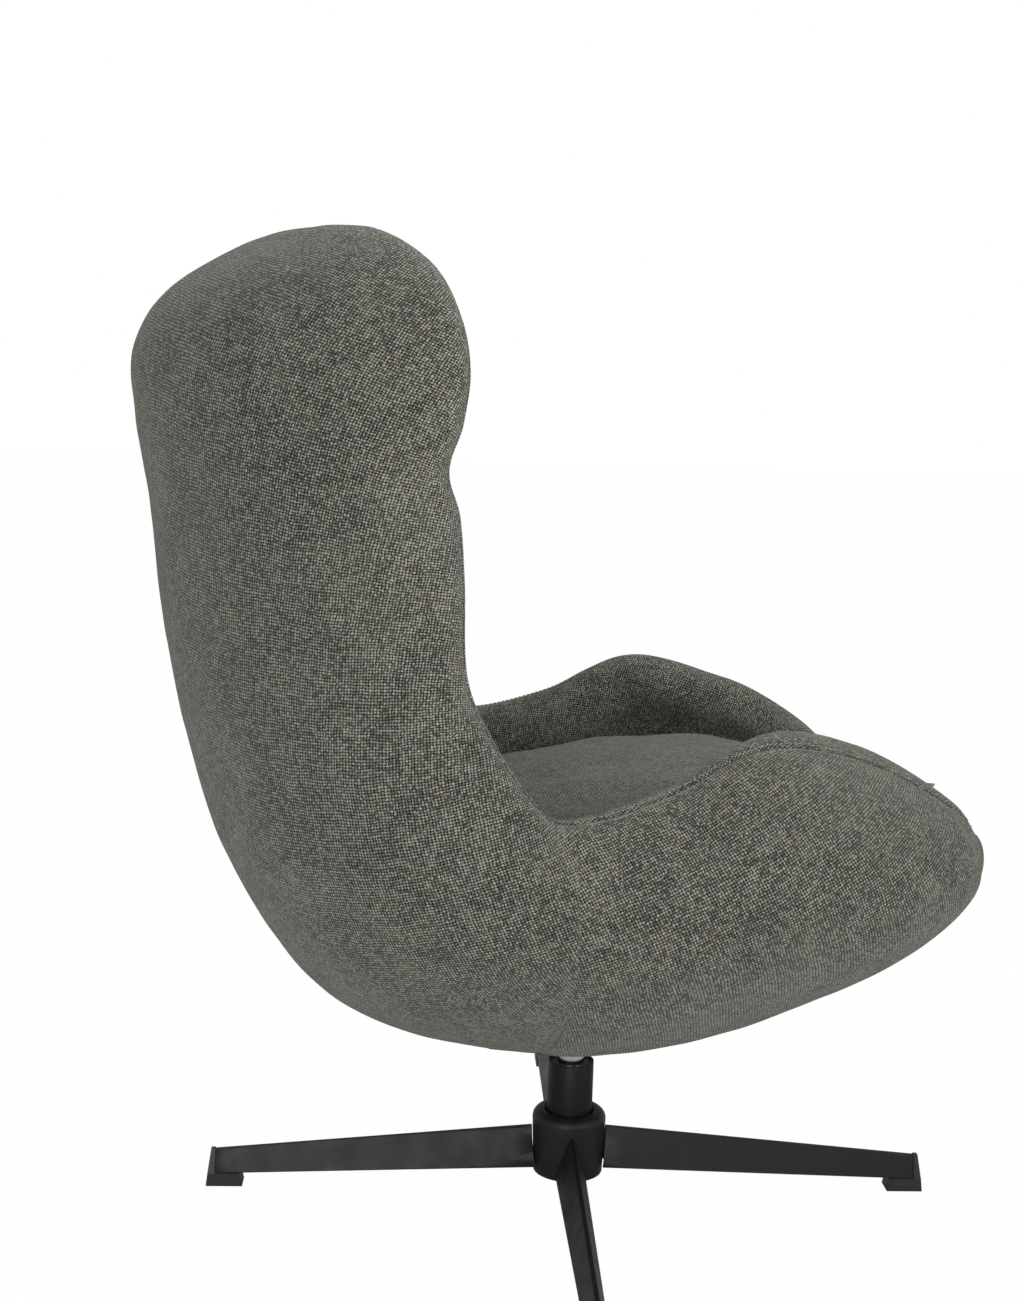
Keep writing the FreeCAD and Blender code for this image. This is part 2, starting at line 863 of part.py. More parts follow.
def soft(label, shape):
    """One soft piece: the largest solid of the shape, which must hold nearly all of it."""
    solids = sorted(shape.Solids, key=lambda solid: solid.Volume)
    if not solids:
        raise ValueError(label + " is empty")
    if solids[-1].Volume < 0.97 * sum(solid.Volume for solid in solids):
        raise ValueError("%s is in pieces: %s" % (label, [s.Volume for s in solids]))
    feature = doc.addObject("Part::Feature", label)
    feature.Label = label
    feature.Shape = solids[-1]
    return feature


# Regions of the pod: behind the back seam, between the seams, and ahead of the front seam
half_gap = gap / 2
behind = box(-far, far, back_seam + half_gap, far, 0, far)
between = box(-far, far, front_seam + half_gap, back_seam - half_gap, 0, far)
ahead = box(-far, far, -far, front_seam - half_gap, 0, far)
above_foam = box(-far, far, -far, far, cushion_base, far)
inner_first = 1
inner_last = len(STATIONS) - 2


def space_inside(inset, first=inner_first, last=inner_last):
    """The space inside the skin moved in by inset, open past the rim."""
    return pod_solid(inset, inset + rim_clearance, first, last)


def below_rim(inset, drop):
    """The space inside the skin moved in by inset, up to a line that far below the rim."""
    return pod_solid(inset, -drop, inner_first, inner_last)


cavity = space_inside(wall)
lining_space = space_inside(lining_outside)


def plan_box(width, length, centre, z_low, z_high):
    half = width / 2
    return box(-half, half, centre - length / 2, centre + length / 2, z_low, z_high)


underside_rear = axis_y + size("underside_cover_behind").mm
underside_centre = underside_rear - size("underside_cover_depth").mm / 2
opening_width = size("underside_cover_width").mm - 2 * size("underside_opening_margin").mm
opening_depth = size("underside_cover_depth").mm - 2 * size("underside_opening_margin").mm
underside_opening = plan_box(opening_width, opening_depth, underside_centre, 0, cushion_base)


def make_covers():
    """The outer upholstery: one rear cover, a side cover under each arm and a front panel."""
    inside = space_inside(cover)
    inside_to_lip = space_inside(cover, 0, len(STATIONS) - 1)
    whole = pod_solid(0)
    lowered = below_rim(0, size("arm_wrap").mm + gap)
    left = box(half_gap, far, -far, far, 0, far)
    right = box(-far, -half_gap, -far, far, 0, far)

    def cover_in(space, regions, hollow=inside):
        for region in regions:
            space = space.common(region)
        return space.cut(hollow).cut(underside_opening)

    return [
        soft("back_cover", cover_in(whole, [behind])),
        soft("arm_cover_right", cover_in(lowered, [between, right])),
        soft("arm_cover_left", cover_in(lowered, [between, left])),
        soft("front_panel", cover_in(whole, [ahead], inside_to_lip)),
    ]


def bolt_holes(radius, bottom, top):
    return [cylinder(radius, bottom, top, x, y + axis_y) for x, y in bolt_places()]


def make_shell():
    """The moulded shell, with a flat land for the plate in a pocket of its underside."""
    setback = size("shell_setback").mm
    outside = below_rim(shell_outside, setback).common(space_inside(shell_outside))
    skin = outside.cut(space_inside(shell_inside))
    pocket_width = size("plate_width").mm + 2 * size("plate_thickness").mm
    pocket = plan_box(pocket_width, pocket_width, axis_y, 0, plate_top.mm)
    land_width = size("land_width").mm
    land = plan_box(land_width, land_width, axis_y, plate_top.mm, land_top.mm)
    shape = skin.cut(pocket).fuse(land)
    shape = shape.cut(bolt_holes(size("bolt_hole").mm / 2, 0, land_top.mm))
    return soft("seat_shell", shape)


def make_board():
    """The plywood board that holds the tee nuts, trimmed where it meets the shell."""
    blank = box(
        -size("board_width").mm / 2,
        size("board_width").mm / 2,
        axis_y - size("board_depth").mm / 2,
        axis_y + size("board_depth").mm / 2,
        land_top.mm,
        board_top.mm,
    )
    shape = blank.common(lining_space)
    barrel = size("nut_barrel_diameter").mm / 2 + size("fit_gap").mm
    return soft("seat_board", shape.cut(bolt_holes(barrel, land_top.mm, board_top.mm)))


def make_base_foam():
    """The foam block in the bottom of the shell, cut round the board, the land and the nuts."""
    below = box(-far, far, -far, far, 0, cushion_base - gap)
    shape = lining_space.common(below)
    board = box(
        -size("board_width").mm / 2 - gap,
        size("board_width").mm / 2 + gap,
        axis_y - size("board_depth").mm / 2 - gap,
        axis_y + size("board_depth").mm / 2 + gap,
        0,
        board_top.mm + gap,
    )
    flange_top = board_top.mm + size("nut_flange_thickness").mm + gap
    flange = size("nut_flange_diameter").mm / 2 + gap
    shape = shape.cut([board] + bolt_holes(flange, 0, flange_top))
    return soft("base_foam", shape)


def make_pads():
    """The inner padding. Over the arms it wraps outwards past the rim and ends in a seam."""
    shell_space = below_rim(shell_outside - gap, size("shell_setback").mm - gap)
    wrap_space = below_rim(-gap, size("arm_wrap").mm)
    head_part = box(-far, far, -far, far, head_seam + half_gap, far)
    lower_part = box(-far, far, -far, far, 0, head_seam - half_gap)
    half_lip = size("lip_width").mm / 2
    lip_back = from_rear(depth) + size("lip_depth").mm
    lip_part = box(-half_lip, half_lip, -far, lip_back, 0, far).fuse(ahead)
    arm_part = between.cut(box(-half_lip - gap, half_lip + gap, -far, lip_back + gap, 0, far))
    left = box(0, far, -far, far, 0, far)
    right = box(-far, 0, -far, far, 0, far)

    def pad_in(outside, outer_layers, regions):
        pad = outside
        layers = outer_layers
        for region in [above_foam] + regions:
            pad = pad.common(region)
            layers = layers.common(region)
        return pad.cut(cavity).cut(layers.cut(lining_space))

    lined = pod_solid(shell_outside)
    whole = pod_solid(0)
    return [
        soft("head_pad", pad_in(lined, shell_space, [behind, head_part])),
        soft("back_pad", pad_in(lined, shell_space, [behind, lower_part])),
        soft("arm_pad_right", pad_in(whole, wrap_space, [arm_part, right])),
        soft("arm_pad_left", pad_in(whole, wrap_space, [arm_part, left])),
        soft("front_lip_pad", pad_in(lined, shell_space, [lip_part])),
    ]


# Sections of the seat cushion, from its rear end to its front end: per cent of its depth,
# of its width, and of its thickness at the crown
CUSHION_SECTIONS = [
    (0, 50, 46),
    (5, 64, 64),
    (18, 84, 82),
    (40, 98, 94),
    (62, 100, 100),
    (82, 90, 98),
    (94, 74, 84),
    (100, 56, 58),
]


def cushion_wire(ahead_share, width_share, top_share):
    """A flat bottom, sides drawn in above and below a bulge, and a crowned top."""
    y = from_rear(size("cushion_from_rear").mm + ahead_share / 100 * size("cushion_depth").mm)
    half = width_share / 100 * size("cushion_width").mm / 2
    tall = top_share / 100 * size("cushion_thickness").mm
    low = cushion_base + gap

    def at(share, rise):
        return Vector(share * half, y, low + rise * tall)

    edges = [Part.makeLine(at(-0.88, 0), at(0.88, 0))]
    for side in (1, -1):
        edges.append(Part.Arc(at(side * 0.88, 0), at(side * 0.97, 0.14), at(side, 0.4)).toShape())
        edges.append(Part.Arc(at(side, 0.4), at(side * 0.98, 0.66), at(side * 0.88, 0.84)).toShape())
        edges.append(Part.Arc(at(side * 0.88, 0.84), at(side * 0.46, 0.96), at(0, 1)).toShape())
    return Part.Wire(Part.__sortEdges__(edges))


def make_cushion():
    wires = [cushion_wire(*row) for row in CUSHION_SECTIONS]
    block = Part.makeLoft(wires, True, False, False)
    return soft("seat_cushion", block.common(space_inside(wall + gap)))


def make_underside_cover():
    """The black cloth that closes the opening under the seat, with a hole for the column."""
    thick = size("underside_cover_thickness").mm
    sheet_layer = pod_solid(-gap - thick).cut(pod_solid(-gap))
    outline = plan_box(
        size("underside_cover_width").mm,
        size("underside_cover_depth").mm,
        underside_centre,
        0,
        cushion_base,
    )
    hole = size("socket_diameter").mm / 2 + size("cap_wall").mm
    column = cylinder(hole, 0, cushion_base, 0, axis_y)
    return soft("underside_cover", sheet_layer.common(outline).cut(column))


parts = [make_hub()]
for name, angle in LEG_ANGLES.items():
    parts.append(make_leg(name, angle))
    parts.append(make_foot_cap(name, angle))
parts.append(make_sleeve())
parts += make_bushes()
parts += make_races()
parts.append(make_ball_cage())
parts.append(make_balls())
parts.append(make_spindle())
parts.append(make_end_washer())
parts.append(make_clip())
parts.append(make_socket())
parts.append(make_plate())
parts.append(make_bolts())
parts.append(make_washers())
parts.append(make_tee_nuts())
parts.append(make_board())
parts.append(make_shell())
parts.append(make_base_foam())
parts += make_covers()
parts += make_pads()
parts.append(make_cushion())
parts.append(make_underside_cover())
doc.recompute()

for thing in doc.Objects:
    if "Invalid" in thing.State or "Error" in thing.State:
        raise RuntimeError("%s is %s" % (thing.Label, thing.State))
for part in parts:
    if part.Shape.isNull() or not part.Shape.isValid():
        raise RuntimeError(part.Label + " has no valid shape")

os.makedirs("parts", exist_ok=True)
for part in parts:
    part.Shape.exportStep(os.path.join("parts", part.Label + ".step"))
    print("%-18s %10.1f cm3" % (part.Label, part.Shape.Volume / 1000))
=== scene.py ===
import math

import bmesh
import bpy
import numpy as np
from mathutils import Matrix, Vector


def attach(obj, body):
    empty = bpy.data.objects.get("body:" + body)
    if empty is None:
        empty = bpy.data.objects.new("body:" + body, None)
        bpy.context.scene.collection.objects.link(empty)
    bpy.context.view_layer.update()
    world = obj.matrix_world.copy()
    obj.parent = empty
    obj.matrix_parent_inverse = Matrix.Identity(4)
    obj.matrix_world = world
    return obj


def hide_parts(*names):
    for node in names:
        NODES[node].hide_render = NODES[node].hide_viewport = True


# The pod chair's looks. Metres, in the frame of the solids: +Z up, the sitter faces -Y.

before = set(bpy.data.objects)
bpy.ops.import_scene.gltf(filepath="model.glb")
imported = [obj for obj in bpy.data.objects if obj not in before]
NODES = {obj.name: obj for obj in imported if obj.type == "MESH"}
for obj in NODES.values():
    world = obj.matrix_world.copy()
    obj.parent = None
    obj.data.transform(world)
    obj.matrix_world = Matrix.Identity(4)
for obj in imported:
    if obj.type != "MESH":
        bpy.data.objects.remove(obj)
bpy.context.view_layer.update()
scene = bpy.context.scene
MM = 0.001


# The pod's skin: sections from the hood's top rim down the back, under the seat and up to the
# front lip. Each row: forward and height of the middle line, of the rim, half width, rim angle.
# Forward is measured from the swivel's axis, and the angle is in degrees.
AXIS_Y = -0.034
STATIONS = np.array([
    (-0.206, 0.934, -0.203, 0.932, 0.064, 60),
    (-0.290, 0.949, -0.212, 0.940, 0.175, 95),
    (-0.352, 0.930, -0.180, 0.914, 0.235, 95),
    (-0.410, 0.892, -0.164, 0.873, 0.268, 95),
    (-0.440, 0.838, -0.158, 0.824, 0.284, 96),
    (-0.438, 0.775, -0.163, 0.777, 0.288, 97),
    (-0.428, 0.715, -0.173, 0.740, 0.290, 98),
    (-0.422, 0.665, -0.163, 0.705, 0.292, 99),
    (-0.414, 0.600, -0.158, 0.650, 0.297, 100),
    (-0.390, 0.480, -0.154, 0.575, 0.310, 103),
    (-0.343, 0.345, -0.134, 0.530, 0.328, 107),
    (-0.250, 0.230, -0.102, 0.486, 0.340, 112),
    (-0.075, 0.182, -0.072, 0.466, 0.345, 123),
    (0.060, 0.188, 0.010, 0.487, 0.345, 129),
    (0.165, 0.215, 0.108, 0.531, 0.338, 134),
    (0.248, 0.253, 0.208, 0.510, 0.312, 142),
    (0.312, 0.300, 0.295, 0.463, 0.265, 137),
    (0.352, 0.338, 0.347, 0.419, 0.180, 115),
    (0.376, 0.406, 0.373, 0.410, 0.064, 60),
])
LAST = len(STATIONS) - 1
HALF_WALL = 0.030  # half the padded wall, and so the radius of its rounded rim
BACK_SEAM_Y = 0.038  # between the back's cover and pad and those of the arms
FRONT_SEAM_Y = -0.364  # between the arms' covers and the front panel
HEAD_SEAM_Z = 0.740  # between the head pad and the back pad
LIP_HALF = 0.175  # half the width of the front lip's pad
LIP_BACK_Y = -0.298  # the rear edge of that pad
PAD_BOTTOM_Z = 0.324  # where the inner padding ends and the cushion lies

# How finely lines on the skin are sampled, to measure lengths and distances
FINE_ACROSS, FINE_ALONG = 201, 1801
RIM_ALONG, RIM_ACROSS = 1100, 160
CHUNK = 4000  # points per table of distances


def section_rows(u):
    """Catmull-Rom through the stations."""
    count = len(STATIONS)
    i = np.clip(np.floor(u).astype(int), 0, count - 2)
    f = (u - i)[..., None]
    p1, p2 = STATIONS[i], STATIONS[i + 1]
    p0, p3 = STATIONS[np.maximum(i - 1, 0)], STATIONS[np.minimum(i + 2, count - 1)]
    m1, m2 = (p2 - p0) / 2, (p3 - p1) / 2
    m1 = np.where((i == 0)[..., None], p2 - p1, m1)
    m2 = np.where((i == count - 2)[..., None], p2 - p1, m2)
    return (
        (2 * f**3 - 3 * f**2 + 1) * p1
        + (f**3 - 2 * f**2 + f) * m1
        + (-2 * f**3 + 3 * f**2) * p2
        + (f**3 - f**2) * m2
    )


def skin(u, v):
    """Points of the outer skin. u counts stations, v runs from -1 to 1 across."""
    u, v = np.broadcast_arrays(u, v)
    rows = section_rows(u)
    turn = np.radians(rows[..., 5])
    rise = (1 - np.cos(turn * v)) / (1 - np.cos(turn))
    forward = rows[..., 0] + (rows[..., 2] - rows[..., 0]) * rise
    up = rows[..., 1] + (rows[..., 3] - rows[..., 1]) * rise
    across = rows[..., 4] * np.sin(turn * v)
    return np.stack([across, AXIS_Y - forward, up], -1)


def skin_normal(u, v):
    """Outward normals of the skin."""
    u, v = np.broadcast_arrays(u, v)
    step = 0.004
    low, high = np.clip(u - step * 4, 0, LAST), np.clip(u + step * 4, 0, LAST)
    along = skin(high, v) - skin(low, v)
    across = skin(u, v + step) - skin(u, v - step)
    normal = np.cross(across, along)
    return normal / (np.linalg.norm(normal, axis=-1, keepdims=True) + 1e-12)


def arc_lengths(points):
    """Length along each line of points, from its first point."""
    steps = np.linalg.norm(np.diff(points, axis=-2), axis=-1)
    return np.concatenate([np.zeros((*steps.shape[:-1], 1)), np.cumsum(steps, -1)], -1)


def rim_distance(points):
    """Distance of each point to the rim's closed curve."""
    u = np.linspace(0, LAST, RIM_ALONG)
    v = np.linspace(-1, 1, RIM_ACROSS)
    curve = np.concatenate([
        skin(u, np.full_like(u, 1.0)),
        skin(u, np.full_like(u, -1.0)),
        skin(np.zeros_like(v), v),
        skin(np.full_like(v, float(LAST)), v),
    ])
    flat = points.reshape(-1, 3)
    out = np.empty(len(flat))
    squares = (curve**2).sum(1)
    for start in range(0, len(flat), CHUNK):
        part = flat[start:start + CHUNK]
        table = (part**2).sum(1)[:, None] + squares[None] - 2 * part @ curve.T
        out[start:start + CHUNK] = np.sqrt(np.maximum(table.min(1), 0))
    return out.reshape(points.shape[:-1])


def rim_round(distance):
    """Share of the wall's half thickness: 0 at the rim, 1 where its rounding ends."""
    return np.sqrt(np.clip(1 - (1 - np.minimum(distance / HALF_WALL, 1))**2, 0, 1))[..., None]


# Rows and columns of the grid. The columns near a rim stand at even angles round its rounding,
# and one of them is the seam between the outer cover and the inner padding.
def seam_distance(u):
    """How far the rim seam lies outside the crest, measured on the skin: mm by station."""
    return np.interp(
        u,
        [0, 4, 6, 8.5, 10.5, 11.6, 12, 12.5, 13, 13.5, 14, 14.5, 15, 15.5, 16, 16.5, 17, 18],
        [4, 4, 5, 7, 11, 13, 15, 21, 22, 26, 35, 44, 50, 50, 44, 31, 17, 5],
    ) * MM


SEAM_COLUMNS = 8  # from the crest to the seam
ROUND_COLUMNS = 9  # from the seam to the end of the rounding
PAST_SEAM = 0.35  # least angle of the rounding past the seam
MOST_NEAR = 0.75  # greatest share of half a row that these columns may take
SPACING = 0.0052  # of all other rows and columns


def rim_columns(seam):
    """Distances from the rim along the skin: to the seam, then past the end of the rounding.
    Steps are even in the angle round the rim, and beyond its quarter turn even in length."""
    quarter = np.pi / 2
    flat = max(seam / HALF_WALL - 1, 0)
    at_seam = quarter + flat if flat else np.arccos(1 - seam / HALF_WALL)
    last = max(quarter, at_seam + PAST_SEAM)
    turns = np.concatenate([
        np.linspace(0, at_seam, SEAM_COLUMNS + 1),
        np.linspace(at_seam, last, ROUND_COLUMNS + 1)[1:],
    ])
    return HALF_WALL * (1 - np.cos(np.minimum(turns, quarter)) + np.maximum(turns - quarter, 0))


def grid_columns(rows_u):
    """v of each grid point, row by row, symmetric about the middle."""
    fine = np.linspace(0, 1, FINE_ACROSS)
    lengths = arc_lengths(skin(rows_u[:, None], fine[None, :]))
    middle_count = int(lengths[:, -1].max() / SPACING)
    out = []
    for k, u in enumerate(rows_u):
        total = lengths[k, -1]
        near = rim_columns(float(seam_distance(u)))
        if near[-1] > MOST_NEAR * total:
            near = near * MOST_NEAR * total / near[-1]
        even = np.linspace(0, total - near[-1], middle_count + 1)
        from_middle = np.concatenate([even, (total - near[::-1])[1:]])
        half = np.interp(from_middle, lengths[k], fine)
        out.append(np.concatenate([-half[::-1], half[1:]]))
    return np.array(out)


def grid_rows():
    """u of each row: rim rounding at both ends, even spacing of the middle line between."""
    fine = np.linspace(0, LAST, FINE_ALONG)
    lengths = arc_lengths(skin(fine, np.zeros_like(fine)))
    total = lengths[-1]
    top = rim_columns(float(seam_distance(0.0)))
    low = rim_columns(float(seam_distance(LAST)))
    count = int((total - top[-1] - low[-1]) / SPACING)
    middle = np.linspace(top[-1], total - low[-1], count + 1)
    places = np.concatenate([top, middle[1:-1], total - low[::-1]])
    return np.interp(places, lengths, fine)


ROWS = grid_rows()
COLUMNS = grid_columns(ROWS)
NU, NV = COLUMNS.shape
U = np.repeat(ROWS[:, None], NV, 1)
base = skin(U, COLUMNS)
# at the four corners the rows run along the rim, so the normal is taken nearer the middle
reach = np.interp(U, [0, 0.6, 1.6, LAST - 1.6, LAST - 0.6, LAST], [0.55, 0.65, 1, 1, 0.65, 0.55])
normal = skin_normal(U, np.clip(COLUMNS, -reach, reach))
away = rim_distance(base)
roundness = rim_round(away)
outer = base - normal * HALF_WALL * (1 - roundness)
# the padding is fuller inside the arms than in the hood
fuller = 1 + np.interp(U, [11, 12.2, 13.2, 14.5, 16, 17], [0, 0.36, 0.30, 0.12, 0.05, 0])[..., None]
inner = base - normal * HALF_WALL * (1 + roundness * fuller)


def relax(grid, weight, rounds):
    """Moves each point of the grid some way to the middle of its four neighbours."""
    share = 0.5 * weight[1:-1, 1:-1, None]
    for _ in range(rounds):
        around = grid[:-2, 1:-1] + grid[2:, 1:-1] + grid[1:-1, :-2] + grid[1:-1, 2:]
        grid[1:-1, 1:-1] += share * (around / 4 - grid[1:-1, 1:-1])


# Stuffing rounds off the tight corners of the inside, but leaves the rim as it is. Then the
# grid's own four corners are smoothed on both sides.
RIM_KEPT, RIM_BLEND = 0.008, 0.022
INNER_ROUNDS, CORNER_ROUNDS = 60, 120
CORNER_REACH = 0.035
relax(inner, np.clip((away - RIM_KEPT) / RIM_BLEND, 0, 1), INNER_ROUNDS)
ends = base[[0, 0, -1, -1], [0, -1, 0, -1]]
to_end = np.linalg.norm(base[:, :, None] - ends, axis=-1).min(-1)
for grid in (outer, inner):
    relax(grid, np.exp(-(to_end / CORNER_REACH)**2), CORNER_ROUNDS)

# Inside the arms the padding drops from the crest to the cushion, and doesn't follow the shell.
# The wall leans outwards towards its foot, and widens behind the arms and in front of them.
SOFTNESS = 0.006
WALL_MARGIN, WALL_LEAN = 0.004, 0.25
WIDER_BEHIND, WIDER_AHEAD = 0.35, 1.0
AHEAD_Y = -0.30


def soft_least(a, b):
    """The lesser of two lengths, with a rounded change from one to the other."""
    return -SOFTNESS * np.logaddexp(-a / SOFTNESS, -b / SOFTNESS)


ARM_ROWS = np.flatnonzero((ROWS > 11.9) & (ROWS < 17.2))
CREST = inner[ARM_ROWS, 4:SEAM_COLUMNS + 12]
CREST_Y = CREST[..., 1].mean(1)[::-1]
CREST_X = np.abs(CREST[..., 0]).min(1)[::-1]
CREST_Z = CREST[..., 2].max(1)[::-1]


def arm_wall(points, gap=0.0):
    """The same points, with |x| held inside the arms' inner wall."""
    x, y, z = points[..., 0], points[..., 1], points[..., 2]
    below = np.maximum(np.interp(y, CREST_Y, CREST_Z) - z, 0)
    wall = np.interp(y, CREST_Y, CREST_X) + WALL_MARGIN + WALL_LEAN * below - gap
    wall = wall + WIDER_BEHIND * np.maximum(y, 0) + WIDER_AHEAD * np.maximum(AHEAD_Y - y, 0)
    return np.stack([np.sign(x) * soft_least(np.abs(x), wall), y, z], -1)


inner = arm_wall(inner)


# Soft, seeded unevenness of a stuffed and stretched cover
WAVE_COUNT = 14


def waves(points, seed, scale):
    """Smooth noise made of a few plane waves; scale is the usual wavelength."""
    rng = np.random.default_rng(seed)
    total = np.zeros(points.shape[:-1])
    for _ in range(WAVE_COUNT):
        direction = rng.normal(size=3)
        direction /= np.linalg.norm(direction)
        length = scale * rng.uniform(0.6, 1.7)
        total += np.sin(points @ direction * 2 * np.pi / length + rng.uniform(0, 2 * np.pi))
    return total / math.sqrt(WAVE_COUNT)


def unevenness(points, seed, broad, broad_scale, small, small_scale):
    """Broad and small waves together; their heights are in mm."""
    return (
        broad * MM * waves(points, seed, broad_scale)
        + small * MM * waves(points, seed + 1, small_scale)
    )


def along_rows(points):
    """Arc length of each point from the seam column, on the nearer side."""
    lengths = arc_lengths(points)
    left = np.abs(lengths - lengths[:, SEAM_COLUMNS:SEAM_COLUMNS + 1])
    right_at = NV - 1 - SEAM_COLUMNS
    right = np.abs(lengths - lengths[:, right_at:right_at + 1])
    return np.minimum(left, right)


def groove(distance, width):
    return np.exp(-(distance / width)**2)


def seam_dent(distance, sharp, sharp_width, soft, soft_width):
    """Depth of a sewn seam: a sharp groove in a soft hollow. Depths and widths are in mm."""
    return (
        sharp * MM * groove(distance, sharp_width * MM)
        + soft * MM * groove(distance, soft_width * MM)
    )


fade_at_rim = np.clip(away / 0.02, 0, 1)
y = outer[..., 1]
dent = seam_dent(along_rows(outer), 1.5, 2.2, 1.0, 9)
back_seam_depth = seam_dent(y - BACK_SEAM_Y, 0.9, 2.4, 1.0, 11)
front_seam_depth = seam_dent(y - FRONT_SEAM_Y, 1.6, 2.6, 1.2, 8)
dent += back_seam_depth + front_seam_depth
swell = unevenness(outer, 3, 0.9, 0.16, 0.35, 0.05)
outer = outer - normal * (dent - swell * fade_at_rim)[..., None]

HEAD_Z, HEAD_REACH = 0.83, 0.07  # where the head pad is fullest
x, y, z = inner[..., 0], inner[..., 1], inner[..., 2]
behind = y > BACK_SEAM_Y
head_seam = seam_dent(z - HEAD_SEAM_Z, 3.0, 3.5, 4, 14)
dent = np.where(behind, head_seam * np.clip(away / 0.03, 0.25, 1), 0)
dent += seam_dent(y - BACK_SEAM_Y, 2.2, 2.8, 3, 12)
lip_side = np.where(y < LIP_BACK_Y, np.abs(np.abs(x) - LIP_HALF), 1)
dent += 1.6 * MM * groove(lip_side, 2.6 * MM)
swell = unevenness(inner, 5, 1.2, 0.14, 0.4, 0.05)
pillow = 5 * MM * np.clip(np.cos(COLUMNS * np.pi / 2), 0, 1) * groove(z - HEAD_Z, HEAD_REACH)
inner = inner + normal * (dent - swell * fade_at_rim - np.where(behind, pillow, 0))[..., None]


# One closed grid of outer and inner skin, joined along the rim
def grid_faces():
    """Two sets of faces: the outer covers, and the padding with the strip outside the rim that it
    wraps, as far as the seam."""
    index_outer = np.arange(NU * NV).reshape(NU, NV)
    index_inner = index_outer + NU * NV
    edge = np.zeros((NU, NV), bool)
    edge[0], edge[-1], edge[:, 0], edge[:, -1] = True, True, True, True
    index_inner = np.where(edge, index_outer, index_inner)
    i, j = np.meshgrid(np.arange(NU - 1), np.arange(NV - 1), indexing="ij")

    def quads(index):
        return np.stack([index[i, j], index[i, j + 1], index[i + 1, j + 1], index[i + 1, j]], -1)

    strip = (
        (i < SEAM_COLUMNS)
        | (i >= NU - 1 - SEAM_COLUMNS)
        | (j < SEAM_COLUMNS)
        | (j >= NV - 1 - SEAM_COLUMNS)
    )
    faces = quads(index_outer)
    cover = faces[~strip]
    pad = np.concatenate([faces[strip], quads(index_inner)[..., ::-1].reshape(-1, 4)])
    return cover, pad


COVER_FACES, PAD_FACES = grid_faces()
POINTS = np.concatenate([outer.reshape(-1, 3), inner.reshape(-1, 3)])


def smooth_faces(mesh):
    mesh.polygons.foreach_set("use_smooth", [True] * len(mesh.polygons))


def new_object(name, mesh):
    made = bpy.data.objects.new(name, mesh)
    scene.collection.objects.link(made)
    return made


def mesh_from(points, faces):
    """A bmesh of only the points that the faces use."""
    used, where = np.unique(faces, return_inverse=True)
    faces = where.reshape(faces.shape)
    mesh = bpy.data.meshes.new("grid")
    mesh.from_pydata(points[used].tolist(), [], faces.tolist())
    bm = bmesh.new()
    bm.from_mesh(mesh)
    bpy.data.meshes.remove(mesh)
    return bm


def split(bm, point, across, keep=lambda centre: True):
    """Cuts the faces whose centre passes keep along a plane."""
    faces = [f for f in bm.faces if keep(f.calc_center_median())]
    parts = set(faces)
    for f in faces:
        parts.update(f.edges)
        parts.update(f.verts)
    bmesh.ops.bisect_plane(
        bm, geom=list(parts), dist=1e-5, plane_co=Vector(point), plane_no=Vector(across)
    )


def take(bm, inside, name):
    """A new object of the faces whose centre is inside."""
    part = bm.copy()
    gone = [f for f in part.faces if not inside(f.calc_center_median())]
    bmesh.ops.delete(part, geom=gone, context="FACES")
    bmesh.ops.dissolve_degenerate(part, edges=part.edges, dist=2e-5)
    mesh = bpy.data.meshes.new(name)
    part.to_mesh(mesh)
    part.free()
    smooth_faces(mesh)
    return new_object(name, mesh)


def only(made):
    """Selects one object and makes it the active one."""
    for other in bpy.context.selected_objects:
        other.select_set(False)
    made.select_set(True)
    bpy.context.view_layer.objects.active = made


THINNED_POINTS = 2600


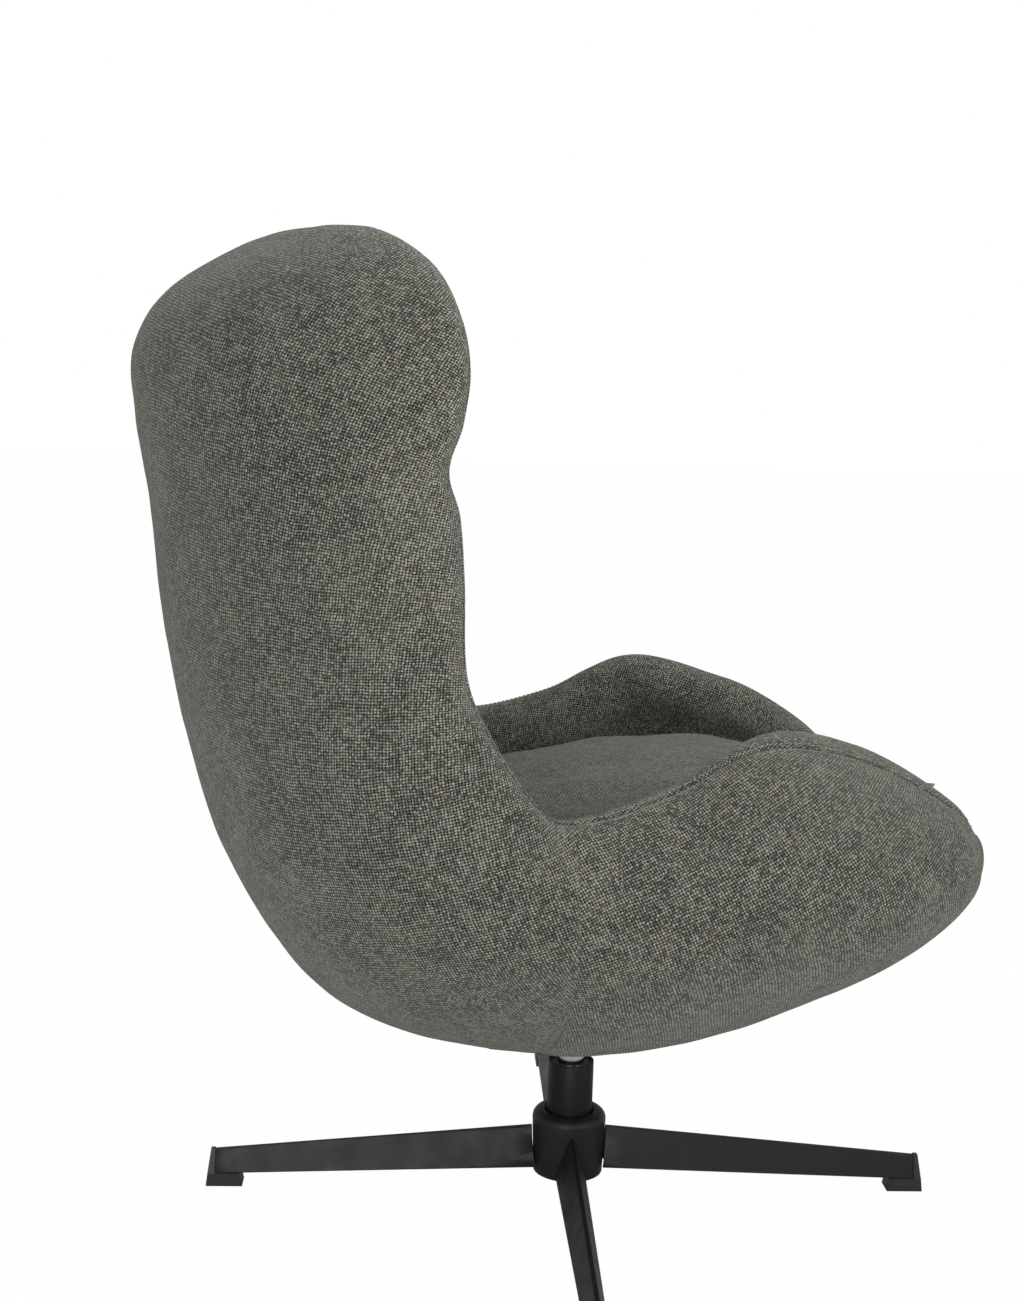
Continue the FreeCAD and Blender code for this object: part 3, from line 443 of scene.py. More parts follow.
def unwrap(made, turn):
    """UVs in metres from a low-stretch unwrapping. The cloth's rows lie at turn degrees to the
    level. A thinned copy is unwrapped, and its UVs are carried over."""
    thin = new_object("thinned", made.data.copy())
    only(thin)
    fewer = thin.modifiers.new("fewer", "DECIMATE")
    fewer.ratio = min(1.0, THINNED_POINTS / len(made.data.vertices))
    bpy.ops.object.modifier_apply(modifier=fewer.name)
    mesh = thin.data
    mesh.uv_layers.new(name="weave")
    bpy.ops.object.mode_set(mode="EDIT")
    bpy.ops.mesh.select_all(action="SELECT")
    bpy.ops.uv.unwrap(method="MINIMUM_STRETCH", margin=0.0, iterations=12, no_flip=False)
    bpy.ops.object.mode_set(mode="OBJECT")
    mesh = thin.data
    loops = len(mesh.loops)
    uv = np.empty(loops * 2)
    mesh.uv_layers[0].data.foreach_get("uv", uv)
    uv = uv.reshape(-1, 2)
    corner = np.empty(loops, int)
    mesh.loops.foreach_get("vertex_index", corner)
    place = coordinates(mesh)
    starts = np.empty(len(mesh.polygons), int)
    mesh.polygons.foreach_get("loop_start", starts)
    real = np.linalg.norm(place[corner[starts]] - place[corner[starts + 1]], axis=1)
    flat = np.linalg.norm(uv[starts] - uv[starts + 1], axis=1)
    uv *= np.median(real) / np.median(flat)
    # least squares: UV as a linear function of place gives the way up in the cloth
    table = np.c_[place[corner] - place[corner].mean(0), np.ones(loops)]
    fit = np.linalg.lstsq(table, uv, rcond=None)[0]
    upward = fit[2]
    angle = math.radians(turn) - math.atan2(upward[1], upward[0]) + math.pi / 2
    c, s = math.cos(angle), math.sin(angle)
    uv = (uv - uv.mean(0)) @ np.array([[c, s], [-s, c]])
    mesh.uv_layers[0].data.foreach_set("uv", uv.ravel())
    made.data.uv_layers.new(name="weave")
    carry = made.modifiers.new("carry", "DATA_TRANSFER")
    carry.object = thin
    carry.use_loop_data = True
    carry.data_types_loops = {"UV"}
    carry.loop_mapping = "POLYINTERP_NEAREST"
    only(made)
    bpy.ops.object.modifier_apply(modifier=carry.name)
    bpy.data.objects.remove(thin)


def coordinates(mesh):
    flat = np.empty(len(mesh.vertices) * 3)
    mesh.vertices.foreach_get("co", flat)
    return flat.reshape(-1, 3)


def thicken(made, thickness):
    """Closes the cloth and its padding to a body of some thickness, inwards."""
    wall = made.modifiers.new("thickness", "SOLIDIFY")
    wall.thickness = thickness
    wall.offset = -1
    wall.use_even_offset = False


def dress(made, node, body, material, slot_name, *replaced):
    """Gives a cloth piece its material, attaches it to its body, and hides the nodes it replaces.
    """
    made.data.materials.clear()
    made.data.materials.append(material)
    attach(made, body)
    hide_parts(node, *replaced)


# Materials
def node_tree(name):
    material = bpy.data.materials.new(name)
    material.use_nodes = True
    tree = material.node_tree
    tree.nodes.clear()
    out = tree.nodes.new("ShaderNodeOutputMaterial")
    shader = tree.nodes.new("ShaderNodeBsdfPrincipled")
    tree.links.new(shader.outputs[0], out.inputs["Surface"])
    return material, tree, shader


class Graph:
    """Short words for building a node tree."""

    def __init__(self, tree):
        self.tree = tree

    def node(self, kind, **settings):
        made = self.tree.nodes.new(kind)
        for key, setting in settings.items():
            setattr(made, key, setting)
        return made

    def link(self, source, socket):
        if isinstance(source, (int, float)):
            socket.default_value = source
        else:
            self.tree.links.new(source, socket)

    def math(self, operation, *inputs):
        made = self.node("ShaderNodeMath", operation=operation)
        for k, source in enumerate(inputs):
            self.link(source, made.inputs[k])
        return made.outputs[0]

    def noise(self, vector, scale, detail=2.0, roughness=0.5, distortion=0.0):
        made = self.node("ShaderNodeTexNoise", noise_dimensions="3D")
        self.link(vector, made.inputs["Vector"])
        made.inputs["Scale"].default_value = scale
        made.inputs["Detail"].default_value = detail
        made.inputs["Roughness"].default_value = roughness
        made.inputs["Distortion"].default_value = distortion
        return made.outputs["Fac"]

    def ramp(self, value, stops):
        made = self.node("ShaderNodeValToRGB")
        self.link(value, made.inputs[0])
        elements = made.color_ramp.elements
        while len(elements) < len(stops):
            elements.new(0.5)
        for element, (place, colour) in zip(elements, stops):
            element.position = place
            element.color = (*colour, 1)
        return made.outputs[0]

    def mix(self, kind, factor, a, b):
        made = self.node("ShaderNodeMix", data_type="RGBA", blend_type=kind)
        self.link(factor, made.inputs[0])
        self.link(a, made.inputs[6])
        self.link(b, made.inputs[7])
        return made.outputs[2]

    def span(self, value, low, high, to_low=0.0, to_high=1.0):
        made = self.node("ShaderNodeMapRange")
        self.link(value, made.inputs[0])
        for k, number in enumerate((low, high, to_low, to_high), start=1):
            self.link(number, made.inputs[k])
        return made.outputs[0]

    def bump(self, height, strength, distance, shader):
        made = self.node("ShaderNodeBump")
        made.inputs["Strength"].default_value = strength
        made.inputs["Distance"].default_value = distance
        self.link(height, made.inputs["Height"])
        self.link(made.outputs[0], shader.inputs["Normal"])


def woven(name, pitch, dark, mid, light, sheen):
    """A coarse plain weave: each thick yarn rises over the next and dips under it, with painted
    shade in the gaps between and on the yarns' flanks and a painted highlight on their crowns,
    uneven yarn and a mottled tone."""
    material, tree, shader = node_tree(name)
    g = Graph(tree)
    coords = g.node("ShaderNodeTexCoord")
    place = coords.outputs["Object"]
    split_uv = g.node("ShaderNodeSeparateXYZ")
    tree.links.new(coords.outputs["UV"], split_uv.inputs[0])
    # the rows wander a little, as pulled cloth does
    drift_a = g.span(g.noise(place, 22, 2), 0, 1, -1.0, 1.0)
    drift_b = g.span(g.noise(place, 27, 2), 0, 1, -1.1, 1.1)
    jitter_a = g.span(g.noise(place, 420, 1), 0, 1, -0.42, 0.42)
    jitter_b = g.span(g.noise(place, 500, 1), 0, 1, -0.42, 0.42)
    a = g.math("ADD", g.math("MULTIPLY_ADD", split_uv.outputs[0], 1 / pitch, drift_a), jitter_a)
    b = g.math("ADD", g.math("MULTIPLY_ADD", split_uv.outputs[1], 1 / pitch, drift_b), jitter_b)
    cell_a, cell_b = g.math("FLOOR", a), g.math("FLOOR", b)

    def yarn(across, across_cell, along, sign):
        """Height of one set of yarns: round across, and a wave along."""
        centre = g.math("MULTIPLY_ADD", g.math("SUBTRACT", across, across_cell), 2.0, -1.0)
        body = g.math("SUBTRACT", 1.0, g.math("POWER", g.math("ABSOLUTE", centre), 2.6))
        shifted = g.math("ADD", g.math("SUBTRACT", along, 0.5), across_cell)
        phase = g.math("MULTIPLY", shifted, math.pi)
        wave = g.math("MULTIPLY_ADD", g.math("COSINE", phase), 0.5 * sign, 0.5)
        return g.math("MULTIPLY", body, g.math("POWER", wave, 0.7))

    warp = yarn(a, cell_a, b, 1)
    weft = yarn(b, cell_b, a, -1)
    height = g.math("MAXIMUM", warp, weft)
    on_top = g.math("GREATER_THAN", warp, weft)
    cells = g.node("ShaderNodeCombineXYZ")
    tree.links.new(cell_a, cells.inputs[0])
    tree.links.new(cell_b, cells.inputs[1])
    tree.links.new(on_top, cells.inputs[2])
    white = g.node("ShaderNodeTexWhiteNoise", noise_dimensions="3D")
    tree.links.new(cells.outputs[0], white.inputs[0])
    each = white.outputs["Value"]
    fibre = g.noise(place, 1500, 3, 0.65)
    patches = g.noise(place, 15, 4, 0.62, 0.7)
    smudge = g.noise(place, 70, 3, 0.6)
    # painted shade and highlight: the tone follows the yarn's height, dark in the gaps and on the
    # flanks, light on the crowns
    painted_yarn_shade = g.span(height, 0.42, 0.94, 0.0, 1.0)
    tone = g.math("MULTIPLY", painted_yarn_shade, g.math("MULTIPLY_ADD", each, 0.62, 0.60))
    tone = g.math("ADD", tone, g.span(patches, 0.3, 0.7, -0.08, 0.08))
    tone = g.math("ADD", tone, g.span(smudge, 0.3, 0.7, -0.07, 0.07))
    tone = g.math("ADD", tone, g.span(fibre, 0.25, 0.75, -0.16, 0.16))
    colour = g.ramp(tone, [(0.0, dark), (0.45, mid), (1.0, light)])
    warm = g.noise(place, 120, 3, 0.6)
    hues = [(0.36, (0.97, 1.0, 0.99)), (0.5, (1.0, 1.0, 0.98)), (0.64, (1.04, 0.99, 0.95))]
    colour = g.mix("MULTIPLY", 1.0, colour, g.ramp(warm, hues))
    tree.links.new(colour, shader.inputs["Base Color"])
    relief = g.math("ADD", height, g.math("MULTIPLY", fibre, 0.3))
    g.bump(relief, 0.8, 0.0008, shader)
    shader.inputs["Roughness"].default_value = 0.95
    shader.inputs["Specular IOR Level"].default_value = 0.15
    shader.inputs["Sheen Weight"].default_value = sheen
    shader.inputs["Sheen Roughness"].default_value = 0.55
    shader.inputs["Sheen Tint"].default_value = (0.83, 0.82, 0.74, 1)
    return material


def plain_cloth(name, colour, pitch):
    """A fine black lining cloth."""
    material, tree, shader = node_tree(name)
    g = Graph(tree)
    place = g.node("ShaderNodeTexCoord").outputs["Object"]
    parts = g.node("ShaderNodeSeparateXYZ")
    tree.links.new(place, parts.inputs[0])
    turns = 2 * math.pi / pitch
    a = g.math("SINE", g.math("MULTIPLY", parts.outputs[0], turns))
    b = g.math("SINE", g.math("MULTIPLY", parts.outputs[1], turns))
    weave = g.math("MULTIPLY", a, b)
    grey = g.noise(place, 90, 3)
    tone = g.math("ADD", g.math("MULTIPLY_ADD", weave, 0.2, 0.3), g.math("MULTIPLY", grey, 0.5))
    low = tuple(c * 0.6 for c in colour)
    high = tuple(c * 1.7 for c in colour)
    tree.links.new(g.ramp(tone, [(0.2, low), (0.9, high)]), shader.inputs["Base Color"])
    g.bump(weave, 0.5, 0.0004, shader)
    shader.inputs["Roughness"].default_value = 0.9
    shader.inputs["Specular IOR Level"].default_value = 0.2
    return material


def coated(name, colour, rough, grain_scale, grain, wear, specular=0.5):
    """Powder coat, moulded plastic, foam or thread: fine grain, slight wear and dust."""
    material, tree, shader = node_tree(name)
    g = Graph(tree)
    place = g.node("ShaderNodeTexCoord").outputs["Object"]
    cloud = g.noise(place, 14, 4, 0.6)
    fine = g.noise(place, grain_scale, 2)
    low = tuple(c * (1 - wear * 0.5) for c in colour)
    high = tuple(min(1, c * (1 + wear)) for c in colour)
    tree.links.new(g.ramp(cloud, [(0.3, low), (0.7, high)]), shader.inputs["Base Color"])
    spread = g.span(g.noise(place, 45, 3), 0.3, 0.7, rough * 0.88, min(1, rough * 1.12))
    tree.links.new(spread, shader.inputs["Roughness"])
    g.bump(fine, grain, 0.0003, shader)
    shader.inputs["Specular IOR Level"].default_value = specular
    return material


def plated(name, colour, rough, lines):
    """Turned and plated steel, with fine lines round the axis."""
    material, tree, shader = node_tree(name)
    g = Graph(tree)
    place = g.node("ShaderNodeTexCoord").outputs["Object"]
    parts = g.node("ShaderNodeSeparateXYZ")
    tree.links.new(place, parts.inputs[0])
    stretched = g.node("ShaderNodeCombineXYZ")
    tree.links.new(g.math("MULTIPLY", parts.outputs[2], lines), stretched.inputs[2])
    rings = g.noise(stretched.outputs[0], 1.0, 3)
    cloud = g.noise(place, 60, 3)
    low = tuple(c * 0.82 for c in colour)
    tree.links.new(g.ramp(cloud, [(0.3, low), (0.7, colour)]), shader.inputs["Base Color"])
    tree.links.new(g.span(rings, 0.3, 0.7, rough * 0.8, rough * 1.3), shader.inputs["Roughness"])
    g.bump(rings, 0.12, 0.0002, shader)
    shader.inputs["Metallic"].default_value = 1.0
    return material


def plywood():
    """Birch ply: pale grain on the faces and plies along the edges."""
    material, tree, shader = node_tree("plywood")
    g = Graph(tree)
    place = g.node("ShaderNodeTexCoord").outputs["Object"]
    parts = g.node("ShaderNodeSeparateXYZ")
    tree.links.new(place, parts.inputs[0])
    squeezed = g.node("ShaderNodeCombineXYZ")
    tree.links.new(parts.outputs[0], squeezed.inputs[0])
    tree.links.new(g.math("MULTIPLY", parts.outputs[1], 0.12), squeezed.inputs[1])
    tree.links.new(g.math("MULTIPLY", parts.outputs[2], 9.0), squeezed.inputs[2])
    grain = g.noise(squeezed.outputs[0], 60, 5, 0.6, 0.4)
    stops = [(0.3, (0.42, 0.27, 0.14)), (0.55, (0.60, 0.43, 0.25)), (0.75, (0.68, 0.52, 0.33))]
    tree.links.new(g.ramp(grain, stops), shader.inputs["Base Color"])
    shader.inputs["Roughness"].default_value = 0.6
    return material


CLOTH = woven(
    "woven_upholstery",
    pitch=0.0026,
    dark=(0.0045, 0.0044, 0.0036),
    mid=(0.056, 0.0545, 0.046),
    light=(0.265, 0.261, 0.225),
    sheen=0.2,
)
THREAD = coated("sewing_thread", (0.21, 0.20, 0.17), 0.7, 2500, 0.3, 0.2)
LINING = plain_cloth("black_underside_cloth", (0.012, 0.012, 0.013), 0.0016)
FOAM = coated("seat_foam", (0.42, 0.40, 0.33), 0.95, 700, 0.6, 0.2)
POWDER = coated("black_powder_coat", (0.0112, 0.0110, 0.0134), 0.46, 1500, 0.18, 0.25, 0.26)
SLEEVE = coated("sleeve_coat", (0.0050, 0.0050, 0.0058), 0.5, 1500, 0.15, 0.25, 0.22)
PLASTIC = coated("black_plastic", (0.011, 0.011, 0.012), 0.5, 1100, 0.22, 0.25)
BUSH = coated("bush_plastic", (0.035, 0.035, 0.038), 0.45, 900, 0.1, 0.2)
SHELL = coated("shell_plastic", (0.03, 0.03, 0.032), 0.5, 700, 0.2, 0.2)
CHROME = plated("spindle_chrome", (0.60, 0.60, 0.62), 0.16, 2600)
STEEL = plated("bearing_steel", (0.52, 0.52, 0.54), 0.22, 1800)
ZINC = plated("zinc_steel", (0.55, 0.55, 0.52), 0.35, 900)
PLY = plywood()


# Rectangles in the plan, under the seat: the black cloth, and the opening behind it in the covers
NEAR_BOTTOM_Z = 0.30
HEM = 0.025
underside = dict(half=0.145, front=AXIS_Y + 0.110 - 0.405, rear=AXIS_Y + 0.110)
opening = dict(half=0.120, front=underside["front"] + HEM, rear=underside["rear"] - HEM)


def near_bottom(c):
    return c.z < NEAR_BOTTOM_Z


def in_plan(c, area):
    return near_bottom(c) and abs(c.x) < area["half"] and area["front"] < c.y < area["rear"]


def split_sides(bm, area):
    """Cuts the lower faces along the four sides of a rectangle in the plan."""
    for point, across in (
        ((area["half"], 0, 0), (1, 0, 0)),
        ((-area["half"], 0, 0), (1, 0, 0)),
        ((0, area["front"], 0), (0, 1, 0)),
        ((0, area["rear"], 0), (0, 1, 0)),
    ):
        split(bm, point, across, near_bottom)


def in_arm_cover(c, side):
    between = FRONT_SEAM_Y < c.y < BACK_SEAM_Y
    return between and c.x * side > 0 and not in_plan(c, opening)


# The outer covers: cut from the outer skin along the seam planes and round the opening below
covers = mesh_from(POINTS, COVER_FACES)
split(covers, (0, BACK_SEAM_Y, 0), (0, 1, 0))
split(covers, (0, FRONT_SEAM_Y, 0), (0, 1, 0))
split_sides(covers, opening)
split(covers, (0, 0, 0), (1, 0, 0), lambda c: FRONT_SEAM_Y < c.y < BACK_SEAM_Y)
back_cover = take(
    covers, lambda c: c.y > BACK_SEAM_Y and not in_plan(c, opening), "back_cover_cloth"
)
arm_cover_right = take(covers, lambda c: in_arm_cover(c, -1), "arm_cover_cloth_right")
arm_cover_left = take(covers, lambda c: in_arm_cover(c, 1), "arm_cover_cloth_left")
front_panel = take(covers, lambda c: c.y < FRONT_SEAM_Y, "front_panel_cloth")
covers.free()


def in_lip(c):
    return c.y < FRONT_SEAM_Y or (c.y < LIP_BACK_Y and abs(c.x) < LIP_HALF)


def above(c):
    return c.z > PAD_BOTTOM_Z


def in_arm_pad(c, side):
    return c.y < BACK_SEAM_Y and c.x * side > 0 and above(c) and not in_lip(c)


# The inner padding, which wraps out over the rim to the seam
pads = mesh_from(POINTS, PAD_FACES)
split(pads, (0, BACK_SEAM_Y, 0), (0, 1, 0))
split(pads, (0, 0, PAD_BOTTOM_Z), (0, 0, 1))
split(pads, (0, 0, HEAD_SEAM_Z), (0, 0, 1), lambda c: c.y > BACK_SEAM_Y)
split(pads, (0, FRONT_SEAM_Y, 0), (0, 1, 0))
split(pads, (0, LIP_BACK_Y, 0), (0, 1, 0), lambda c: abs(c.x) < LIP_HALF + 0.01)
for side in (1, -1):
    split(pads, (side * LIP_HALF, 0, 0), (1, 0, 0), lambda c: FRONT_SEAM_Y < c.y < LIP_BACK_Y)
head_pad = take(pads, lambda c: c.y > BACK_SEAM_Y and c.z > HEAD_SEAM_Z, "head_pad_cloth")
back_pad = take(
    pads, lambda c: c.y > BACK_SEAM_Y and PAD_BOTTOM_Z < c.z < HEAD_SEAM_Z, "back_pad_cloth"
)
arm_pad_right = take(pads, lambda c: in_arm_pad(c, -1), "arm_pad_cloth_right")
arm_pad_left = take(pads, lambda c: in_arm_pad(c, 1), "arm_pad_cloth_left")
front_lip_pad = take(pads, lambda c: in_lip(c) and above(c), "front_lip_cloth")
pads.free()

# Which node each replaces, how its rows of yarn are turned, and its thickness
for made, node, turn, thickness in (
    (back_cover, "back_cover", 8, 9 * MM),
    (arm_cover_right, "arm_cover_right", -27, 9 * MM),
    (arm_cover_left, "arm_cover_left", 27, 9 * MM),
    (front_panel, "front_panel", 0, 8 * MM),
    (head_pad, "head_pad", 0, 20 * MM),
    (back_pad, "back_pad", 0, 20 * MM),
    (arm_pad_right, "arm_pad_right", -12, 20 * MM),
    (arm_pad_left, "arm_pad_left", 12, 20 * MM),
    (front_lip_pad, "front_lip_pad", 0, 18 * MM),
):
    unwrap(made, turn)
    thicken(made, thickness)
    dress(made, node, "seat", CLOTH, "woven_upholstery")


# The seat cushion and the foam block below it start from their solids
VOXEL = 0.008
SWELL_FRAMES = 20
INSET = 3.0 * MM  # before the cushion swells
SEAM_HEIGHT = 0.060  # of the cushion's side seam above its underside


def copy_of(node, name):
    """A welded copy of a solid's mesh."""
    mesh = NODES[node].data.copy()
    mesh.name = name
    mesh.materials.clear()
    bm = bmesh.new()
    bm.from_mesh(mesh)
    bmesh.ops.remove_doubles(bm, verts=bm.verts, dist=1e-5)
    bm.to_mesh(mesh)
    bm.free()
    return new_object(name, mesh)


def remesh(made):
    only(made)
    made.data.remesh_voxel_size = VOXEL
    bpy.ops.object.voxel_remesh()
    return made


def vertex_normals(mesh):
    flat = np.empty(len(mesh.vertices) * 3)
    mesh.vertices.foreach_get("normal", flat)
    return flat.reshape(-1, 3)


def swell_as_cloth(made, pressure, cap):
    """Blows the piece up a little as sewn cloth does, and holds each point within cap."""
    before = coordinates(made.data)
    cloth = made.modifiers.new("swell", "CLOTH")
    cloth.settings.quality = 5
    cloth.settings.mass = 0.3
    cloth.settings.tension_stiffness = 30
    cloth.settings.compression_stiffness = 20
    cloth.settings.bending_stiffness = 2.0
    cloth.settings.use_pressure = True
    cloth.settings.uniform_pressure_force = pressure
    cloth.settings.effector_weights.gravity = 0
    cloth.collision_settings.use_collision = False
    for number in range(1, SWELL_FRAMES + 1):
        scene.frame_set(number)
    graph = bpy.context.evaluated_depsgraph_get()
    after = coordinates(made.evaluated_get(graph).data)
    made.modifiers.remove(cloth)
    scene.frame_set(1)
    move = after - before
    length = np.linalg.norm(move, axis=1, keepdims=True)
    move *= np.minimum(1, cap / np.maximum(length, 1e-9))
    made.data.vertices.foreach_set("co", (before + move).ravel())
    made.data.update()


def box_uv(made, sideways=0.55):
    """UVs in metres by the way each face looks: top and bottom flat, the sides round them."""
    mesh = made.data
    layer = mesh.uv_layers.new(name="weave") if not mesh.uv_layers else mesh.uv_layers[0]
    for face in mesh.polygons:
        flat = abs(face.normal.z) > sideways
        across = abs(face.normal.x) > abs(face.normal.y)
        for loop in face.loop_indices:
            p = mesh.vertices[mesh.loops[loop].vertex_index].co
            if flat:
                layer.data[loop].uv = (p.x, p.y)
            elif across:
                layer.data[loop].uv = (p.y, p.z)
            else:
                layer.data[loop].uv = (p.x, p.z)


cushion = remesh(copy_of("seat_cushion", "seat_cushion_cloth"))
points = coordinates(cushion.data)
# it lies on sloping foam: lower towards the back, fuller towards the knees
fullness = np.interp(
    points[:, 1], [-0.36, -0.22, -0.10, 0.05, 0.25], [1.02, 1.12, 1.05, 0.86, 0.74]
)
points[:, 2] = PAD_BOTTOM_Z + (points[:, 2] - PAD_BOTTOM_Z) * fullness
points = arm_wall(points, 0.001)
cushion.data.vertices.foreach_set("co", points.ravel())
cushion.data.update()
points = coordinates(cushion.data)
inset = vertex_normals(cushion.data) * INSET
cushion.data.vertices.foreach_set("co", (points - inset).ravel())
swell_as_cloth(cushion, 4.0, 9 * MM)
sub = bmesh.new()
sub.from_mesh(cushion.data)
bmesh.ops.subdivide_edges(sub, edges=sub.edges, cuts=1, use_grid_fill=True)
sub.to_mesh(cushion.data)
sub.free()
points = coordinates(cushion.data)
normals = vertex_normals(cushion.data)
seam_z = PAD_BOTTOM_Z + SEAM_HEIGHT
steep = np.clip(1 - np.abs(normals[:, 2]) * 1.2, 0, 1)
pull = 2.4 * MM * groove(points[:, 2] - seam_z, 3.2 * MM) * steep
soft = unevenness(points, 11, 1.3, 0.13, 0.5, 0.045)
points = arm_wall(points + normals * (soft * 0.8 - pull)[:, None])
cushion.data.vertices.foreach_set("co", points.ravel())
cushion.data.update()
smooth_faces(cushion.data)
box_uv(cushion)
dress(cushion, "seat_cushion", "seat", CLOTH, "woven_upholstery")

foam = remesh(copy_of("base_foam", "base_foam_block"))
smooth = foam.modifiers.new("soft_edges", "SMOOTH")
smooth.iterations = 4
smooth_faces(foam.data)
dress(foam, "base_foam", "seat", FOAM, "seat_foam")


# The black cloth under the seat
under = mesh_from(POINTS, COVER_FACES)
split_sides(under, underside)
HOLE = 0.0228  # radius of the hole round the spindle's socket
underside_cloth = take(
    under,
    lambda c: in_plan(c, underside) and math.hypot(c.x, c.y - AXIS_Y) > HOLE,
    "underside_cloth",
)
under.free()
bm = bmesh.new()
bm.from_mesh(underside_cloth.data)
bm.normal_update()
for vert in bm.verts:
    out = Vector((vert.co.x, vert.co.y - AXIS_Y))
    if vert.is_boundary and out.length < HOLE * 1.5:
        out = out.normalized() * HOLE
        vert.co.x, vert.co.y = out.x, out.y + AXIS_Y
ripple = waves(np.array([v.co[:] for v in bm.verts]), 21, 0.07)
for vert, rise in zip(bm.verts, ripple):
    vert.co += vert.normal * (1.9 + 0.5 * rise) * MM
bm.to_mesh(underside_cloth.data)
bm.free()
thicken(underside_cloth, 0.8 * MM)
dress(underside_cloth, "underside_cover", "seat", LINING, "black_underside_cloth")


# Sewn details
THREAD_SUNK = 0.6 * MM


def row_point(u, t, side):
    """A point just under the outer skin, at t metres of skin from the rim, and its normal."""
    fine = np.linspace(0, 1, FINE_ACROSS)
    lengths = arc_lengths(skin(np.full_like(fine, u), fine))
    v = np.interp(lengths[-1] - t, lengths, fine)
    place = skin(np.array([u]), np.array([side * v]))
    out = skin_normal(np.array([u]), np.array([side * v]))
    sunk = HALF_WALL * (1 - rim_round(rim_distance(place))) + THREAD_SUNK
    return (place - out * sunk)[0], out[0]


def stitches(name, path, normals_along, stitch, gap, radius, material):
    """A row of small raised stitches along a path of points."""
    path, normals_along = np.array(path), np.array(normals_along)
    lengths = arc_lengths(path)
    total = lengths[-1]

    def at_length(table, length):
        return np.array([np.interp(length, lengths, table[:, k]) for k in range(3)])

    points, faces = [], []
    ring = 6
    # place along the stitch and share of its radius, from end to end
    profile = [(-0.5, 0.15), (-0.42, 0.75), (-0.2, 1.0), (0.2, 1.0), (0.42, 0.75), (0.5, 0.15)]
    at = 0.0
    while at + stitch < total:
        mid = at + stitch / 2
        centre = at_length(path, mid)
        along = at_length(path, mid + stitch / 2) - centre
        along /= np.linalg.norm(along)
        up = at_length(normals_along, mid)
        side = np.cross(along, up)
        side /= np.linalg.norm(side)
        up = np.cross(side, along)
        first = len(points)
        for share, wide in profile:
            for k in range(ring):
                turn = 2 * math.pi * k / ring
                rise = (1 - (2 * share) ** 2) * radius * 0.35
                points.append(
                    centre + along * share * stitch
                    + side * math.cos(turn) * radius * wide
                    + up * (math.sin(turn) * radius * wide + rise)
                )
        for a in range(len(profile) - 1):
            for k in range(ring):
                n = (k + 1) % ring
                faces.append((first + a * ring + k, first + a * ring + n,
                              first + (a + 1) * ring + n, first + (a + 1) * ring + k))
        at += stitch + gap
    mesh = bpy.data.meshes.new(name)
    mesh.from_pydata([p.tolist() for p in points], [], faces)
    smooth_faces(mesh)
    made = new_object(name, mesh)
    made.data.materials.append(material)
    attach(made, "seat")


def arm_seam_stitches(side, name):
    """The double row of stitches along the seam below one arm's top edge."""
    for offset, tag in ((-4.2, "upper"), (3.6, "lower")):
        path, out = [], []
        for u in np.linspace(12.15, 16.45, 90):
            place, up = row_point(u, float(seam_distance(u)) + offset * MM, side)
            path.append(place)
            out.append(up)
        stitches(
            "%s_stitches_%s" % (name, tag), path, out,
            stitch=3.6 * MM, gap=1.4 * MM, radius=0.42 * MM, material=THREAD,
        )


arm_seam_stitches(-1, "arm_seam_right")
arm_seam_stitches(1, "arm_seam_left")


# Metal and plastic: the solids keep their shapes and get their finishes and soft edges
LEGS = ("front", "left", "rear", "right")
FINISH = {
    "base_hub": POWDER, "column_sleeve": SLEEVE, "plate_socket": POWDER, "mounting_plate": POWDER,
    "upper_bush": BUSH, "lower_bush": BUSH, "ball_cage": BUSH,
    "lower_race": STEEL, "upper_race": STEEL, "bearing_balls": STEEL,
    "swivel_spindle": CHROME,
    "end_washer": ZINC, "retaining_clip": ZINC,
    "plate_bolts": ZINC, "plate_washers": ZINC, "tee_nuts": ZINC,
    "seat_board": PLY, "seat_shell": SHELL,
}
for where in LEGS:
    FINISH["leg_" + where] = POWDER
    FINISH["foot_cap_" + where] = PLASTIC
for node, material in FINISH.items():
    solid = NODES[node]
    solid.data.materials.clear()
    solid.data.materials.append(material)

# radius of the edges, in mm
ROUNDED = {"base_hub": 0.6, "column_sleeve": 0.35, "plate_socket": 0.6, "mounting_plate": 0.5}
for where in LEGS:
    ROUNDED["leg_" + where] = 0.7
    ROUNDED["foot_cap_" + where] = 0.35
for node, radius in ROUNDED.items():
    solid = NODES[node]
    weld = solid.modifiers.new("weld", "WELD")
    weld.merge_threshold = 1e-5
    bevel = solid.modifiers.new("soft_edges", "BEVEL")
    bevel.width = radius * MM
    bevel.segments = 2
    bevel.limit_method = "ANGLE"
    bevel.angle_limit = math.radians(35)
    bevel.harden_normals = True


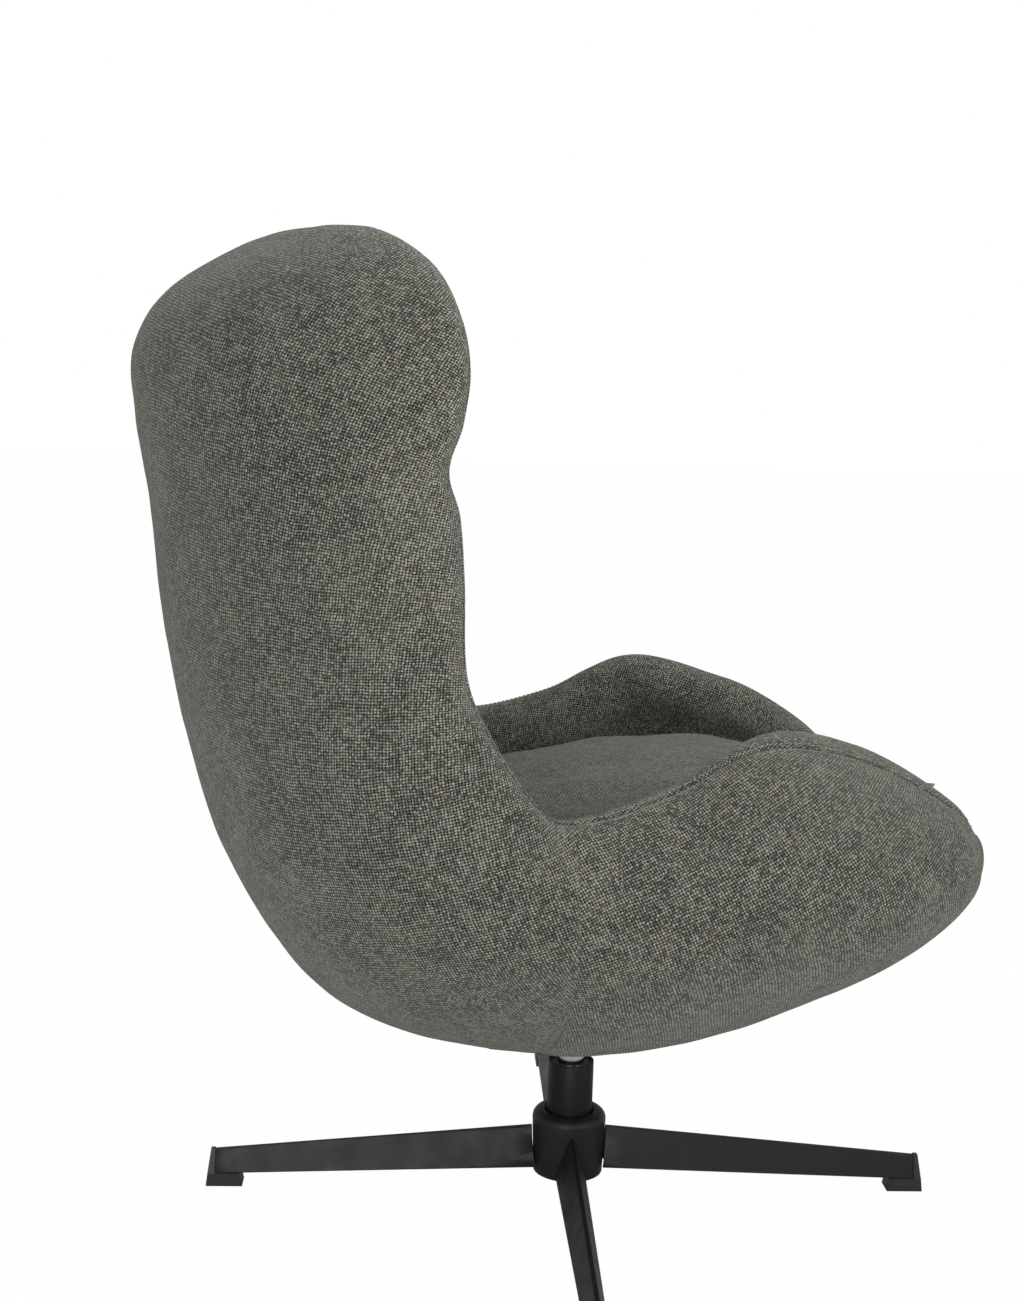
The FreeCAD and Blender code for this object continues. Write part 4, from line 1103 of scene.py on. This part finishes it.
# Floor, light and camera
def white_floor():
    """A floor that takes shadows, and that the camera sees as nearly pure white."""
    mesh = bpy.data.meshes.new("floor")
    half = 30
    corners = [(-half, -half, 0), (half, -half, 0), (half, half, 0), (-half, half, 0)]
    mesh.from_pydata(corners, [], [(0, 1, 2, 3)])
    floor = new_object("floor", mesh)
    material = bpy.data.materials.new("floor")
    material.use_nodes = True
    tree = material.node_tree
    tree.nodes.clear()
    g = Graph(tree)
    out = g.node("ShaderNodeOutputMaterial")
    diffuse = g.node("ShaderNodeBsdfDiffuse")
    diffuse.inputs[0].default_value = (0.86, 0.86, 0.86, 1)
    glow = g.node("ShaderNodeEmission")
    glow.inputs[0].default_value = (1, 1, 1, 1)
    path = g.node("ShaderNodeLightPath")
    seen = g.math("MULTIPLY", path.outputs["Is Camera Ray"], 0.99)
    mixed = g.node("ShaderNodeMixShader")
    tree.links.new(seen, mixed.inputs[0])
    tree.links.new(diffuse.outputs[0], mixed.inputs[1])
    tree.links.new(glow.outputs[0], mixed.inputs[2])
    tree.links.new(mixed.outputs[0], out.inputs["Surface"])
    floor.data.materials.append(material)


white_floor()

# the room lights the chair softly, and the camera sees it white
world = bpy.data.worlds.new("studio")
scene.world = world
world.use_nodes = True
tree = world.node_tree
tree.nodes.clear()
g = Graph(tree)
out = g.node("ShaderNodeOutputWorld")
room = g.node("ShaderNodeBackground")
room.inputs[0].default_value = (0.95, 0.97, 1.0, 1)
room.inputs[1].default_value = 0.42
white = g.node("ShaderNodeBackground")
white.inputs[0].default_value = (1, 1, 1, 1)
white.inputs[1].default_value = 1.0
path = g.node("ShaderNodeLightPath")
mixed = g.node("ShaderNodeMixShader")
tree.links.new(path.outputs["Is Camera Ray"], mixed.inputs[0])
tree.links.new(room.outputs[0], mixed.inputs[1])
tree.links.new(white.outputs[0], mixed.inputs[2])
tree.links.new(mixed.outputs[0], out.inputs["Surface"])


def lamp(name, place, target, size, power):
    data = bpy.data.lights.new(name, "AREA")
    data.shape = "RECTANGLE"
    data.size, data.size_y = size
    data.energy = power
    made = bpy.data.objects.new(name, data)
    scene.collection.objects.link(made)
    made.location = place
    made.rotation_mode = "QUATERNION"
    made.rotation_quaternion = (Vector(target) - Vector(place)).to_track_quat("-Z", "Y")
    return made


lamp("key", (-1.1, -1.2, 3.0), (0, 0, 0.5), (1.8, 1.8), 14)
lamp("fill", (-2.8, 1.1, 0.9), (0, 0, 0.5), (2.0, 1.2), 42)
lamp("rim", (1.0, -0.2, 3.0), (0, 0, 0.6), (1.6, 1.6), 26)
hood_light = lamp("hood_light", (-1.9, -1.9, 1.5), (-0.15, 0.12, 0.86), (0.9, 0.9), 3.5)
hood_light.data.spread = math.radians(40)

# The photograph's camera, solved from the star base. Roll is in degrees, lens and sensor in mm.
VIEW = (0.97624, -0.17354, -0.12984)
CAMERA_PLACE = (-1.6922, 0.3412, 0.7825)
ROLL = 1.73
LENS, SENSOR = 48.585, 36
view = Vector(VIEW).normalized()
right = view.cross(Vector((0, 0, 1))).normalized()
up = right.cross(view)
roll = math.radians(ROLL)
camera_right = right * math.cos(roll) + up * math.sin(roll)
camera_up = up * math.cos(roll) - right * math.sin(roll)
lens = bpy.data.cameras.new("camera")
lens.lens = LENS
lens.sensor_width = SENSOR
lens.sensor_fit = "AUTO"
lens.clip_start, lens.clip_end = 0.05, 100
camera = bpy.data.objects.new("camera", lens)
scene.collection.objects.link(camera)
matrix = Matrix((camera_right, camera_up, -view)).transposed().to_4x4()
matrix.translation = Vector(CAMERA_PLACE)
camera.matrix_world = matrix
scene.camera = camera
scene.view_settings.view_transform = "Standard"
